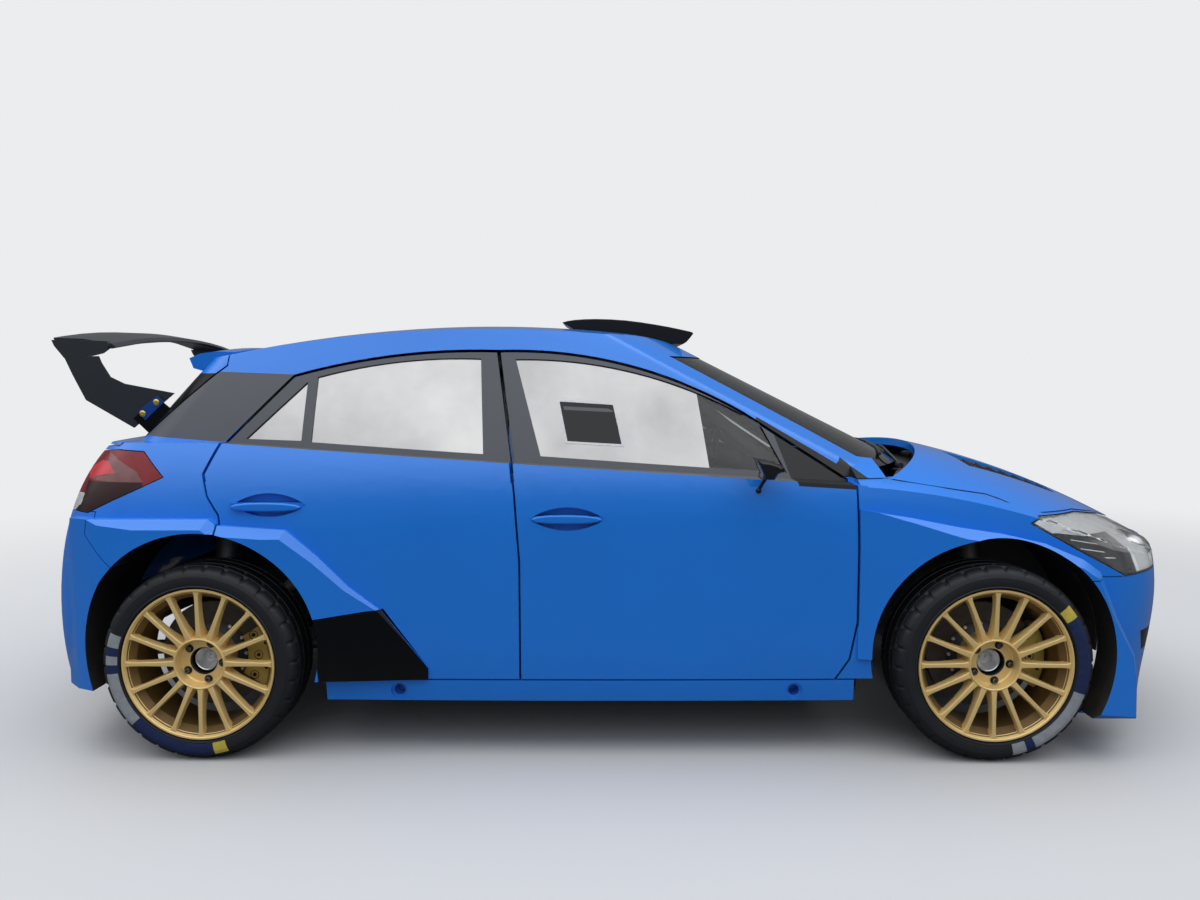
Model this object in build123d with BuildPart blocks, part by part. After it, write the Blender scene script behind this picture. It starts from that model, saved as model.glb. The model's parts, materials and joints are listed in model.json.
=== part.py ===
from build123d import *
import os
from math import cos, radians, sin

# A five-door hatchback built for rallying: wide arches, deep-dish wheels on slim spokes,
# a big rear wing on the tailgate and a vent on the roof.
# +X is forward, +Y is left and +Z is up. The origin is on the ground, midway between
# the nose and the tail. All sizes are in millimetres.

os.makedirs("parts", exist_ok=True)

# Driving dimensions
wheelbase = 2570
front_axle_x = 1205
rear_axle_x = front_axle_x - wheelbase
half_track = 805
nose_x = 2017
tail_x = -2017
flare_half_width = 910
roof_top_z = 1448
tyre_radius = 320
wheel_centre_z = tyre_radius
tyre_half_width = 104
rim_radius = 249
arch_radius = 388
front_arch_z = 345
rear_arch_z = 362
liner_wall = 6
front_house_y = 512
rear_house_y = 560

panel_wall = 48
roof_wall = 30
glass_wall = 5
glass_recess = 6
panel_gap = 3
lining_gap = 8
door_gap = 7
frame_gap = 3
frame_flange = 18
frame_rebate = 16
running_gap = 6
sill_bottom_z = 187
door_bottom_z = 262
floor_z = 208
floor_wall = 12

# The body below the glass as level rings, from the bumpers' foot to the shoulder.
# Columns: height, nose, (x, y) front corner, (x, y) front of the side, half width,
# (x, y) rear of the side, (x, y) rear corner, tail.
lower_rings = [
    (130, nose_x - 35, (1830, 600), (1600, 800), 842, (-1640, 818), (-1830, 755), tail_x + 60),
    (400, nose_x + 2, (1865, 600), (1600, 828), 867, (-1640, 844), (-1872, 782), tail_x),
    (640, nose_x - 4, (1850, 620), (1600, 830), 868, (-1640, 845), (-1862, 782), tail_x + 30),
    (880, nose_x - 100, (1750, 610), (1550, 802), 858, (-1600, 812), (-1812, 742), tail_x + 115),
    (1060, nose_x - 200, (1650, 560), (1450, 712), 773, (-1565, 722), (-1712, 652), tail_x + 240),
]
# The glasshouse in the same columns, from inside the shoulder to above the roof.
upper_rings = [
    (830, 1308, (1056, 648), (972, 712), 834, (-1674, 729), (-1818, 654), -1910),
    (1130, 714, (480, 598), (420, 640), 712, (-1470, 650), (-1595, 575), -1650),
    (1480, 24, (-170, 478), (-220, 508), 552, (-1262, 486), (-1325, 424), -1350),
]
corner_bulge = 0.12

# The top of the car over its centreline: long arcs of the roof and the bonnet, with the
# header's bend in front of the roof, and the crown across the car.
roof_crest_x = -480
roof_long_radius = 4600
roof_start_x = -2000
header_x = 20
header_end = (274, 1355)
screen_run = 1150
bonnet_crest = (587, 1050)
bonnet_long_radius = 2778
bonnet_start_x = 790
bonnet_end_x = nose_x + 60
roof_crown_radius = 4800
bonnet_crown_radius = 2400
crown_half_width = 960
roof_depth = 680
bonnet_depth = 950
belt_front = (800, 893)
belt_rear = (-1335, 1029)


def corner_middle(start, end, outward):
    """Middle of a corner's arc, which stands out from its chord."""
    dx, dy = abs(start[0] - end[0]), abs(start[1] - end[1])
    x, y = (start[0] + end[0]) / 2, (start[1] + end[1]) / 2
    return (x + outward * corner_bulge * dy, y + corner_bulge * dx)


def body_ring(row, inset):
    """One level outline of the body, drawn inward of the outside by the inset."""
    _, nose, front_corner, front_side, half_width, rear_side, rear_corner, tail = row
    front = (nose - inset, 0)
    rear = (tail + inset, 0)
    points = [
        (front_corner[0] - inset, front_corner[1] - inset / 2),
        (front_side[0] - inset / 2, front_side[1] - inset),
        (rear_side[0] + inset / 2, rear_side[1] - inset),
        (rear_corner[0] + inset, rear_corner[1] - inset / 2),
    ]
    side = ((front_side[0] + rear_side[0]) / 2, half_width - inset)
    front_bend = corner_middle(points[0], points[1], 1)
    rear_bend = corner_middle(points[2], points[3], -1)

    def right(point):
        return (point[0], -point[1])

    ThreePointArc(points[0], front, right(points[0]))
    ThreePointArc(right(points[0]), right(front_bend), right(points[1]))
    ThreePointArc(right(points[1]), right(side), right(points[2]))
    ThreePointArc(right(points[2]), right(rear_bend), right(points[3]))
    ThreePointArc(right(points[3]), rear, points[3])
    ThreePointArc(points[3], rear_bend, points[2])
    ThreePointArc(points[2], side, points[1])
    ThreePointArc(points[1], front_bend, points[0])


def ring_solid(rings, inset):
    """The body between its level outlines."""
    with BuildPart() as solid:
        for row in rings:
            with BuildSketch(Plane.XY.offset(row[0])):
                with BuildLine():
                    body_ring(row, inset)
                make_face()
        loft()
    return solid.part


def arc_z(x, crest, radius):
    """Height of a long arc of the body's top at x."""
    return crest[1] - radius + (radius**2 - (x - crest[0]) ** 2) ** 0.5


def under_crown(draw_path, crown_radius, depth):
    """Everything under a crowned surface that follows a path along the centreline."""
    sag = crown_radius - (crown_radius**2 - crown_half_width**2) ** 0.5
    with BuildPart() as top:
        with BuildLine(Plane.XZ) as path:
            draw_path()
        start = path.line @ 0
        section_plane = Plane(origin=start, x_dir=(0, 1, 0), z_dir=path.line % 0)
        with BuildSketch(section_plane):
            with BuildLine():
                ThreePointArc((-crown_half_width, -sag), (0, 0), (crown_half_width, -sag))
                Line((crown_half_width, -sag), (crown_half_width, -depth))
                Line((crown_half_width, -depth), (-crown_half_width, -depth))
                Line((-crown_half_width, -depth), (-crown_half_width, -sag))
            make_face()
        sweep(path=path.line)
    return top.part


def roof_top(drop):
    """Under the roof, its header and a slope above the windscreen."""
    crest = (roof_crest_x, roof_top_z - drop)

    def draw_path():
        start = (roof_start_x, arc_z(roof_start_x, crest, roof_long_radius))
        header = (header_x, arc_z(header_x, crest, roof_long_radius))
        long_arc = ThreePointArc(start, crest, header)
        bend = TangentArc(header, (header_end[0], header_end[1] - drop), tangent=long_arc % 1)
        Line(bend @ 1, bend @ 1 + (bend % 1) * screen_run)

    return under_crown(draw_path, roof_crown_radius, roof_depth)


def bonnet_top(drop):
    """Under the bonnet, from behind the cowl to beyond the nose."""
    crest = (bonnet_crest[0], bonnet_crest[1] - drop)

    def draw_path():
        stations = [bonnet_start_x, (bonnet_start_x + bonnet_end_x) / 2, bonnet_end_x]
        ThreePointArc(*[(x, arc_z(x, crest, bonnet_long_radius)) for x in stations])

    return under_crown(draw_path, bonnet_crown_radius, bonnet_depth)


def outline_region(draw_outline, low_y=-1100, high_y=1100, grow=0):
    """A prism across the car from an outline drawn in the side view."""
    with BuildPart() as region:
        with BuildSketch(Plane.XZ.offset(-high_y)):
            with BuildLine():
                draw_outline()
            make_face()
            if grow:
                offset(amount=grow, kind=Kind.INTERSECTION)
        extrude(amount=high_y - low_y)
    return region.part


def side_region(points, low_y=-1100, high_y=1100, grow=0):
    """A prism across the car from a run of (x, z)."""
    return outline_region(lambda: Polyline(*points, close=True), low_y, high_y, grow)


def end_region(points, start_x, end_x, grow=0):
    """A prism along the car from a run of (y, z)."""
    with BuildPart() as region:
        with BuildSketch(Plane.YZ.offset(start_x)):
            with BuildLine():
                Polyline(*points, close=True)
            make_face()
            if grow:
                offset(amount=grow, kind=Kind.INTERSECTION)
        extrude(amount=end_x - start_x)
    return region.part


def across(points, half_span, crown_radius):
    """A bar across the car from a run of (x, z) at its middle, bowed down to both ends."""
    top_z = max(z for x, z in points)
    end_z = top_z - crown_radius + (crown_radius**2 - half_span**2) ** 0.5
    with BuildPart() as bar:
        with BuildLine(Plane.YZ) as path:
            ThreePointArc((-half_span, end_z), (0, top_z), (half_span, end_z))
        with BuildSketch(Plane(origin=path.line @ 0, x_dir=(1, 0, 0), z_dir=-(path.line % 0))):
            with BuildLine():
                Polyline(*[(x, z - top_z) for x, z in points], close=True)
            make_face()
        sweep(path=path.line)
    return bar.part


def block(low, high, mode=Mode.ADD):
    """Adds a plain block between two corners to the piece being made, or cuts it away."""
    with Locations(tuple((a + b) / 2 for a, b in zip(low, high))):
        Box(*[b - a for a, b in zip(low, high)], mode=mode)


def save(builder, name):
    """Labels a finished piece and writes it."""
    builder.part.label = name
    export_step(builder.part, f"parts/{name}.step")


def save_left(builder, name):
    """Writes the left-hand twin of a right-hand piece."""
    with BuildPart() as twin:
        add(builder.part)
        mirror(about=Plane.XZ, mode=Mode.REPLACE)
    save(twin, name)


def both_sides(shape):
    """A piece and its mirror image in the car's middle plane."""
    return shape + mirror(shape, about=Plane.XZ)


def keep(region):
    """Keeps only what lies in a region."""
    add(region, mode=Mode.INTERSECT)


def cut(region):
    """Cuts a region away."""
    add(region, mode=Mode.SUBTRACT)


# The outside, the inside and the skin between them, which the panels are cut from
def body_solid(inset, drop):
    """The closed form of the body, without its arches."""
    belt_points = [(-2150, belt_rear[1]), belt_rear, belt_front, (belt_front[0], 100), (-2150, 100)]
    belt = side_region([(x, z - drop if z > 100 else z) for x, z in belt_points])
    with BuildPart() as low_body:
        add(ring_solid(lower_rings, inset))
        keep(belt + bonnet_top(drop))
    with BuildPart() as body:
        add(ring_solid(upper_rings, inset))
        keep(roof_top(drop))
        add(low_body.part)
    return body.part


outside = body_solid(0, 0)
inside = body_solid(panel_wall, roof_wall)
cabin = body_solid(panel_wall + lining_gap, roof_wall + lining_gap)
behind_flange = body_solid(frame_flange, frame_flange)

with BuildPart() as arches:
    for axle_x, arch_z, house_y in ((front_axle_x, front_arch_z, front_house_y),
                                    (rear_axle_x, rear_arch_z, rear_house_y)):
        with BuildSketch(Plane.XZ.offset(house_y)):
            with Locations((axle_x, arch_z)):
                Circle(arch_radius)
        extrude(amount=1000 - house_y)

with BuildPart() as right_skin:
    add(outside)
    cut(inside)
    cut(arches.part)
    block((-2200, 0, 0), (2200, 1200, 1600), Mode.SUBTRACT)
skin = right_skin.part

# Shut lines in the side view, as runs of (x, z)
front_hinge_line = [(762, 900), (768, 700), (768, 450), (745, 330), (700, door_bottom_z)]
b_pillar_line = [(-322, door_bottom_z), (-322, 650), (-338, 870), (-352, 980), (-412, 1334)]
rear_shut_line = [(-1325, 1030), (-1365, 930), (-1345, 860), (-1305, 800), (-1295, 735),
                  (-1295, door_bottom_z)]


def front_door_outline():
    """Shut line of the front door."""
    Polyline((417, 1125), *front_hinge_line, *b_pillar_line)
    ThreePointArc(b_pillar_line[-1], (3, 1291), (417, 1125))


def rear_door_outline():
    """Shut line of the rear door."""
    front_edge = [(x - door_gap, z) for x, z in b_pillar_line]
    Polyline((-1118, 1250), *rear_shut_line, *front_edge)
    ThreePointArc(front_edge[-1], (-740, 1322), (-1118, 1250))


def front_window_outline():
    """Edge of the front door's glass."""
    Polyline((480, 1085), (560, 925), (-262, 985), (-356, 1308))
    ThreePointArc((-356, 1308), (110, 1247), (480, 1085))


def rear_window_outline():
    """Edge of the rear door's wind-down glass."""
    Polyline((-1035, 1248), (-1035, 1030), (-452, 992), (-475, 1310))
    ThreePointArc((-475, 1310), (-760, 1300), (-1035, 1248))


quarter_window = [(-1068, 1232), (-1068, 1034), (-1262, 1040)]
screen_window = [(-600, 905), (600, 905), (468, 1322), (-468, 1322)]
hatch_window = [(-480, 1045), (480, 1045), (430, 1275), (-430, 1275)]

bonnet_line = [(770, 1100), (770, 926), (880, 912), (1020, 889), (1220, 857), (1262, 842), (1345, 802),
               (1580, 786), (1720, 760), (1850, 723), (2100, 640), (2100, 1100)]
front_lamp_line = [(1333, 771), (1366, 790), (1580, 778), (1720, 752), (1850, 715), (1950, 668),
                   (1955, 640), (1900, 612), (1781, 600), (1655, 596), (1484, 686)]
front_lamp_inner_y = 430
front_bumper_line = [(1400, 597), (1655, 593), (1781, 597), (1900, 609), (1958, 640), (1958, 662),
                     (2100, 634),
                     (2100, 120), (1400, 120)]
rear_lamp_line = [(-1505, 920), (-1585, 1000), (-1680, 1005), (-2000, 985), (-2000, 820), (-1752, 805)]
rear_lamp_inner_y = 500
rear_bumper_line = [(-2100, 822), (-1722, 806), (-1735, 740), (-1660, 655), (-1560, 560), (-1560, 222),
                    (-2100, 222)]
hatch_line = [(-1374, 1500), (-1374, 1290), (-1410, 1262), (-1684, 1022), (-2100, 1022), (-2100, 1500)]
hatch_foot = [(-491, 1022), (491, 1022), (491, 806), (-491, 806)]
sill_line = [(-965, sill_bottom_z), (765, sill_bottom_z), (765, door_bottom_z - 5), (-965, door_bottom_z - 5)]


def plan_region(draw_outline, low_z, high_z):
    """A prism up and down from an outline drawn in the top view."""
    with BuildPart() as region:
        with BuildSketch(Plane.XY.offset(low_z)):
            with BuildLine():
                draw_outline()
            make_face()
        extrude(amount=high_z - low_z)
    return region.part


bonnet_rear_corner = (886, 770)
bonnet_rear_middle_x = 1165


def bonnet_plan():
    """Everything ahead of the bonnet's curved rear edge."""
    x, y = bonnet_rear_corner
    ThreePointArc((x, -y), (bonnet_rear_middle_x, 0), (x, y))
    Polyline((x, y), (2150, y), (2150, -y), (x, -y))


bonnet_field = plan_region(bonnet_plan, 600, 1200) & side_region(bonnet_line)
front_lamps_field = side_region(front_lamp_line, -1100, -front_lamp_inner_y) + side_region(
    front_lamp_line, front_lamp_inner_y, 1100)
rear_lamps_field = side_region(rear_lamp_line, -1100, -rear_lamp_inner_y) + side_region(
    rear_lamp_line, rear_lamp_inner_y, 1100)
front_lamps_gap = side_region(front_lamp_line, -1100, panel_gap - front_lamp_inner_y, panel_gap) + side_region(
    front_lamp_line, front_lamp_inner_y - panel_gap, 1100, panel_gap)
rear_lamps_gap = side_region(rear_lamp_line, -1100, panel_gap - rear_lamp_inner_y, panel_gap) + side_region(
    rear_lamp_line, rear_lamp_inner_y - panel_gap, 1100, panel_gap)
hatch_field = side_region(hatch_line) + end_region(hatch_foot, -2150, -1500)
hatch_gap = side_region(hatch_line, grow=running_gap) + end_region(hatch_foot, -2150, -1500, grow=running_gap)

# Flares over the wheels: the side view's outline, chamfered all round, met by the plan's
# curve. They run on below the sills, where each piece's own lower edge cuts them.
front_flare_line = [(772, 820), (930, 795), (1080, 765), (1230, 742), (1360, 712), (1484, 660), (1540, 620),
                    (1600, 470), (1660, 350), (1672, 270), (1675, 138), (1500, 138), (1500, 330), (772, 330)]
front_flare_plan = [(760, 860), (900, 884), (1100, 909), (1350, 909), (1500, 905), (1680, 880)]
rear_flare_line = [(-1850, 150), (-1850, 600), (-1800, 790), (-1330, 790), (-1305, 770), (-1080, 755),
                   (-980, 670),
                   (-880, 570), (-780, 495), (-625, 300), (-628, 150)]
rear_flare_plan = [(-620, 868), (-820, 884), (-1150, 909), (-1560, 909), (-1680, 893), (-1790, 845),
                   (-1850, 788)]
flare_inner_y = 700
flare_lip_y = 872
flare_chamfer = 30


def flare(line, plan):
    """The right-hand flare round one wheel, before the arch is cut."""
    with BuildPart() as piece:
        add(side_region(line, -flare_lip_y, -flare_inner_y))
        for depth, inset in ((flare_lip_y, 0), (flare_half_width, -flare_chamfer)):
            with BuildSketch(Plane.XZ.offset(depth)):
                with BuildLine():
                    Polyline(*line, close=True)
                make_face()
                if inset:
                    offset(amount=inset, kind=Kind.INTERSECTION)
        loft(ruled=True)

        def plan_outline():
            Polyline((plan[0][0], -flare_inner_y), *[(x, -y) for x, y in plan], (plan[-1][0], -flare_inner_y),
                     close=True)

        keep(plan_region(plan_outline, 100, 1000))
        cut(inside)
        cut(arches.part)
    return piece.part


front_flare = flare(front_flare_line, front_flare_plan)
rear_flare = flare(rear_flare_line, rear_flare_plan)

# Doors. Above the belt their frames stand back from the shut line, and further back behind
# an outer flange, so that the edge clears its pillar as the door swings.
frame_foot_z = 905
with BuildPart() as door_frames:
    block((-2200, -1100, frame_foot_z), (2200, 0, 1500))


def frame_edge(outline):
    """What is cut from round the edge of a door's window frame."""
    outer = door_frames.part - outline_region(outline, high_y=0, grow=-frame_gap)
    deep = door_frames.part - outline_region(outline, high_y=0, grow=-frame_gap - frame_rebate)
    return outer + (deep & behind_flange)


# Columns: centre x, centre z and the door's half width at each handle. Its bar bridges a
# lens-shaped pocket.
front_handle = (-170, 790, 862)
rear_handle = (-1140, 833, 842)
pocket_half_length = 122
pocket_half_height = 38
pocket_depth = 24
handle_bar_depth = 9
handle_bar_stand = 3
handle_bar_half_height = 8


def add_handle(centre):
    """Sinks a handle's pocket into the door being made and bridges it with the bar."""
    x, z, surface_y = centre
    with BuildSketch(Plane.XZ.offset(surface_y - pocket_depth)) as pocket:
        with BuildLine():
            ThreePointArc((x - pocket_half_length, z), (x, z + pocket_half_height), (x + pocket_half_length, z))
            ThreePointArc((x + pocket_half_length, z), (x, z - pocket_half_height), (x - pocket_half_length, z))
        make_face()
    extrude(pocket.sketch, amount=100, mode=Mode.SUBTRACT)
    block((x - pocket_half_length - 6, -surface_y - handle_bar_stand, z - handle_bar_half_height),
          (x + pocket_half_length + 6, handle_bar_depth - surface_y, z + handle_bar_half_height))


door_inner_line = [(-1100, 0), (-1100, 1500), (-470, 1500), (-560, 1150), (-560, 0)]
door_side = end_region(door_inner_line, -2200, 2200)
with BuildPart() as front_door:
    add(skin)
    keep(outline_region(front_door_outline, high_y=0))
    keep(door_side)
    cut(outline_region(front_window_outline))
    cut(frame_edge(front_door_outline))
    add_handle(front_handle)
save(front_door, "front_door_right")
save_left(front_door, "front_door_left")

rear_door_field = outline_region(rear_door_outline, high_y=0)
with BuildPart() as rear_door:
    add(skin)
    add(rear_flare)
    keep(rear_door_field)
    cut(outline_region(rear_window_outline))
    cut(side_region(quarter_window))
    cut(frame_edge(rear_door_outline))
    add_handle(rear_handle)
save(rear_door, "rear_door_right")
save_left(rear_door, "rear_door_left")

glass_ring = ring_solid(upper_rings, glass_recess) - ring_solid(upper_rings, glass_recess + glass_wall)
glasshouse_glass = glass_ring & roof_top(1)
with BuildPart() as front_glass:
    add(glasshouse_glass)
    keep(outline_region(front_window_outline, high_y=0))
save(front_glass, "front_glass_right")
save_left(front_glass, "front_glass_left")
with BuildPart() as rear_glass:
    add(glasshouse_glass)
    keep(outline_region(rear_window_outline, high_y=0) + side_region(quarter_window, high_y=0))
save(rear_glass, "rear_glass_right")
save_left(rear_glass, "rear_glass_left")

# Mirrors, on stalks from the black panel at the foot of the front door's window
mirror_line = [(416, 938), (428, 984), (470, 992), (512, 978), (521, 948), (478, 927)]
mirror_y = (868, 990)
stalk_path = [(512, -800, 905), (492, -850, 940), (470, -890, 955)]
with BuildPart() as mirror_piece:
    with BuildSketch(Plane.XZ.offset(mirror_y[0])):
        with BuildLine():
            Polyline(*mirror_line, close=True)
        make_face()
    extrude(amount=mirror_y[1] - mirror_y[0])
    chamfer(mirror_piece.faces().sort_by(Axis.Y)[0].edges(), length=14)
    with BuildLine() as stalk:
        Polyline(*stalk_path)
    with BuildSketch(Plane(origin=stalk.line @ 0, z_dir=stalk.line % 0)):
        Circle(9)
    sweep(path=stalk.line, transition=Transition.RIGHT)
    cut(front_door.part)
save(mirror_piece, "mirror_right")
save_left(mirror_piece, "mirror_left")

# Body shell
with BuildPart() as door_openings:
    add(outline_region(front_door_outline, high_y=0, grow=door_gap))
    add(outline_region(rear_door_outline, high_y=0, grow=door_gap))
    keep(door_side)
rocker_y = (715, 795)
post_y = (745, 805)
pillar_line = [(-806, 230), (-812, 600), (-800, 870), (-728, 1000), (-652, 1140), (-545, 1330), (-520, 1395),
               (-470, 1395), (-490, 1330), (-600, 1140), (-675, 1000), (-745, 870), (-750, 230)]
with BuildPart() as ahead_of_shell:
    block((884, -1100, 100), (2200, 1100, 1500))
    block((695, -1100, 100), (2200, 1100, 912))
    block((-2200, -1100, 100), (2200, 1100, door_bottom_z))

# What stands inside the doors: pillars, hinge posts, rockers and the rear wheel houses
with BuildPart() as right_frame:
    with BuildSketch(Plane.YZ.offset(-375)):
        with BuildLine():
            Polyline(*pillar_line, close=True)
        make_face()
    extrude(amount=88)
    block((-985, -rocker_y[1], 205), (764, -rocker_y[0], 305))
    block((700, -post_y[1], 205), (762, -post_y[0], 905))
    with BuildSketch(Plane.XZ.offset(rear_house_y)):
        with Locations((rear_axle_x, rear_arch_z)):
            Circle(arch_radius + liner_wall)
            Circle(arch_radius, mode=Mode.SUBTRACT)
        with Locations((rear_axle_x, 0)):
            Rectangle(1000, 2 * 230, mode=Mode.SUBTRACT)
    extrude(amount=300)
    keep(cabin)
with BuildPart() as rear_house_lip:
    with BuildSketch(Plane.XZ.offset(rear_house_y)):
        with Locations((rear_axle_x, rear_arch_z)):
            Circle(arch_radius + liner_wall)
            Circle(arch_radius, mode=Mode.SUBTRACT)
        with Locations((rear_axle_x, 0)):
            Rectangle(1000, 2 * 230, mode=Mode.SUBTRACT)
    extrude(amount=300)
    keep(inside)
    keep(side_region([(-2000, 0), (-1303, 0), (-1303, 1000), (-2000, 1000)]))
with BuildPart() as pillar_head:
    with BuildSketch(Plane.YZ.offset(-375)):
        with BuildLine():
            Polyline(*pillar_line, close=True)
        make_face()
    extrude(amount=88)
    keep(side_region([(-500, 1345), (-200, 1345), (-200, 1500), (-500, 1500)]))

with BuildPart() as shell:
    add(skin)
    add(rear_flare)
    cut(door_openings.part)
    cut(end_region(screen_window, 0, 2200))
    cut(ahead_of_shell.part)
    cut(side_region(rear_bumper_line, grow=panel_gap))
    cut(rear_lamps_gap)
    cut(hatch_gap)
    add(right_frame.part)
    add(rear_house_lip.part)
    add(pillar_head.part)
    mirror(about=Plane.XZ)
save(shell, "body_shell")

# Front end
fender_field = side_region([(700, 1000), (700, 262), (1500, 262), (1760, 603), (1760, 1000)])
bonnet_gap = plan_region(bonnet_plan, 600, 1200) & side_region(bonnet_line, grow=panel_gap)
with BuildPart() as behind_bonnet:
    block((884, -900, 905), (1300, 900, 1200))
    block((700, -1100, 912 - panel_gap), (900, 1100, 1200))

with BuildPart() as fenders:
    add(skin)
    add(front_flare)
    keep(fender_field)
    cut(door_openings.part)
    cut(bonnet_gap)
    cut(behind_bonnet.part)
    cut(front_lamps_gap)
    cut(side_region(front_bumper_line, grow=panel_gap))
    mirror(about=Plane.XZ)
save(fenders, "front_fenders")

# The bonnet and its two vents, each a sunk panel with slanted blades
vent_outline = [(1262, -205), (1285, -432), (1618, -402), (1640, -262)]
vent_depth = 10
vent_panel_wall = 5
vent_slot_length = 22
vent_rows = [1310, 1358, 1406, 1454, 1502, 1550, 1594]


def vent_plan():
    """Edge of the right-hand vent in the top view."""
    Polyline(*vent_outline, close=True)


vent_field = plan_region(vent_plan, 600, 1100)
with BuildPart() as bonnet:
    add(skin)
    keep(bonnet_field)
    cut(vent_field)
    mirror(about=Plane.XZ)
save(bonnet, "bonnet")

with BuildPart() as bonnet_vents:
    add(bonnet_top(vent_depth))
    cut(bonnet_top(vent_depth + vent_panel_wall))
    keep(vent_field)
    for row_x in vent_rows:
        block((row_x - vent_slot_length / 2, -400, 600), (row_x + vent_slot_length / 2, -278, 1100),
              Mode.SUBTRACT)
        blade_z = arc_z(row_x, bonnet_crest, bonnet_long_radius) - 46
        with Locations(Location((row_x, -339, blade_z), (0, 32, 0))):
            Box(4, 122, 62)
    keep(bonnet_top(2))
    keep(vent_field)
    mirror(about=Plane.XZ)
save(bonnet_vents, "bonnet_vents")

intake_line = [(-430, 235), (430, 235), (470, 330), (430, 420), (-430, 420), (-470, 330)]
grille_line = [(-330, 470), (330, 470), (470, 560), (400, 618), (-400, 618), (-470, 560)]
with BuildPart() as front_bumper:
    add(skin)
    add(front_flare)
    keep(side_region(front_bumper_line))
    cut(front_lamps_gap)
    cut(end_region(intake_line, 1500, 2200))
    cut(end_region(grille_line, 1500, 2200))
    mirror(about=Plane.XZ)
save(front_bumper, "front_bumper")

# The grille's bars, which follow the nose inside the upper opening
grille_depth = 26
grille_wall = 10
grille_bars = [(496, 504), (524, 532), (552, 560), (580, 588)]
grille_posts = [(-236, -228), (-4, 4), (228, 236)]
with BuildPart() as grille_lattice:
    for low_z, high_z in grille_bars:
        block((1500, -500, low_z), (2200, 500, high_z))
    for low_y, high_y in grille_posts:
        block((1500, low_y, 465), (2200, high_y, 620))
with BuildPart() as grille:
    add(ring_solid(lower_rings, grille_depth) - ring_solid(lower_rings, grille_depth + grille_wall))
    keep(end_region(grille_line, 1500, 2200))
    keep(grille_lattice.part)
save(grille, "grille")

with BuildPart() as radiator:
    block((1800, -330, 245), (1842, 330, 600))
save(radiator, "radiator")

# Head lamps: a clear lens on a deep housing that holds two projectors
lens_wall = 6
lamp_depth = 104
housing_wall = 5
lens_back = body_solid(lens_wall, lens_wall)
lamp_back = body_solid(lamp_depth, lamp_depth)
lamp_floor = body_solid(lamp_depth - housing_wall, lamp_depth - housing_wall)
right_lamp_field = side_region(front_lamp_line, -1100, -front_lamp_inner_y)
lamp_cavity = side_region(front_lamp_line, -1100, -front_lamp_inner_y - housing_wall, -housing_wall)
# Columns: y, z, radius and front end of each projector
projectors = [(-585, 668, 40, 1826), (-492, 676, 30, 1862)]
with BuildPart() as head_lamps:
    add(outside)
    cut(lens_back)
    keep(right_lamp_field)
    mirror(about=Plane.XZ)
save(head_lamps, "head_lamps")

with BuildPart() as lamp_housings:
    add(lens_back)
    cut(lamp_back)
    keep(right_lamp_field)
    cut((lens_back - lamp_floor) & lamp_cavity)
    for y, z, radius, front_x in projectors:
        with BuildSketch(Plane.YZ.offset(1640)):
            with Locations((y, z)):
                Circle(radius)
        extrude(amount=front_x - 1640)
    keep(lens_back)
    cut(lamp_back)
    mirror(about=Plane.XZ)
save(lamp_housings, "lamp_housings")

# Rear end
with BuildPart() as rear_bumper:
    add(skin)
    add(rear_flare)
    keep(side_region(rear_bumper_line))
    cut(rear_lamps_gap)
    cut(hatch_gap)
    mirror(about=Plane.XZ)
save(rear_bumper, "rear_bumper")

with BuildPart() as tail_lamps:
    add(skin)
    keep(rear_lamps_field)
    mirror(about=Plane.XZ)
save(tail_lamps, "tail_lamps")

# The tailgate, the spoiler at its top and the brackets for the wing's end plates
spoiler_line = [(-1374, 1330), (-1374, 1366), (-1440, 1368), (-1500, 1360), (-1538, 1344), (-1526, 1308),
                (-1478, 1294), (-1420, 1280)]
spoiler_half_span = 515
wing_half_span = 545
wing_plate_wall = 8
wing_bracket_line = [(-1726, 1103), (-1640, 1176), (-1588, 1132), (-1674, 1052)]
wing_bracket_wall = 10
with BuildPart() as tailgate:
    add(skin)
    keep(hatch_field)
    cut(end_region(hatch_window, -2200, -1200))
    add(side_region(wing_bracket_line, -wing_half_span - wing_bracket_wall, -wing_half_span))
    mirror(about=Plane.XZ)
    add(across(spoiler_line, spoiler_half_span, roof_crown_radius))
save(tailgate, "tailgate")

with BuildPart() as tailgate_glass:
    add(glasshouse_glass)
    keep(end_region(hatch_window, -2200, -1200))
    keep(side_region(hatch_line))
save(tailgate_glass, "tailgate_glass")

with BuildPart() as windscreen:
    add(glasshouse_glass)
    keep(end_region(screen_window, 0, 2200))
    cut(side_region([(0, 0), (2200, 0), (2200, 930), (0, 930)]))
save(windscreen, "windscreen")

# The jack sockets are short tubes behind the skirts, faced flat at both ends
jack_points = [(-725, 221), (570, 221)]
jack_socket_radius = 18
jack_boss_radius = 27
jack_boss_y = (798, 844)
with BuildPart() as skirts:
    add(skin)
    keep(side_region(sill_line))
    with BuildSketch(Plane.XZ.offset(jack_boss_y[0])):
        with Locations(*jack_points):
            Circle(jack_boss_radius)
    extrude(amount=jack_boss_y[1] - jack_boss_y[0])
    with BuildSketch(Plane.XZ.offset(jack_boss_y[1])):
        with Locations(*jack_points):
            Circle(jack_boss_radius)
    extrude(amount=100, mode=Mode.SUBTRACT)
    with BuildSketch(Plane.XZ.offset(700)):
        with Locations(*jack_points):
            Circle(jack_socket_radius)
    extrude(amount=300, mode=Mode.SUBTRACT)
    mirror(about=Plane.XZ)
save(skirts, "sill_skirts")

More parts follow.
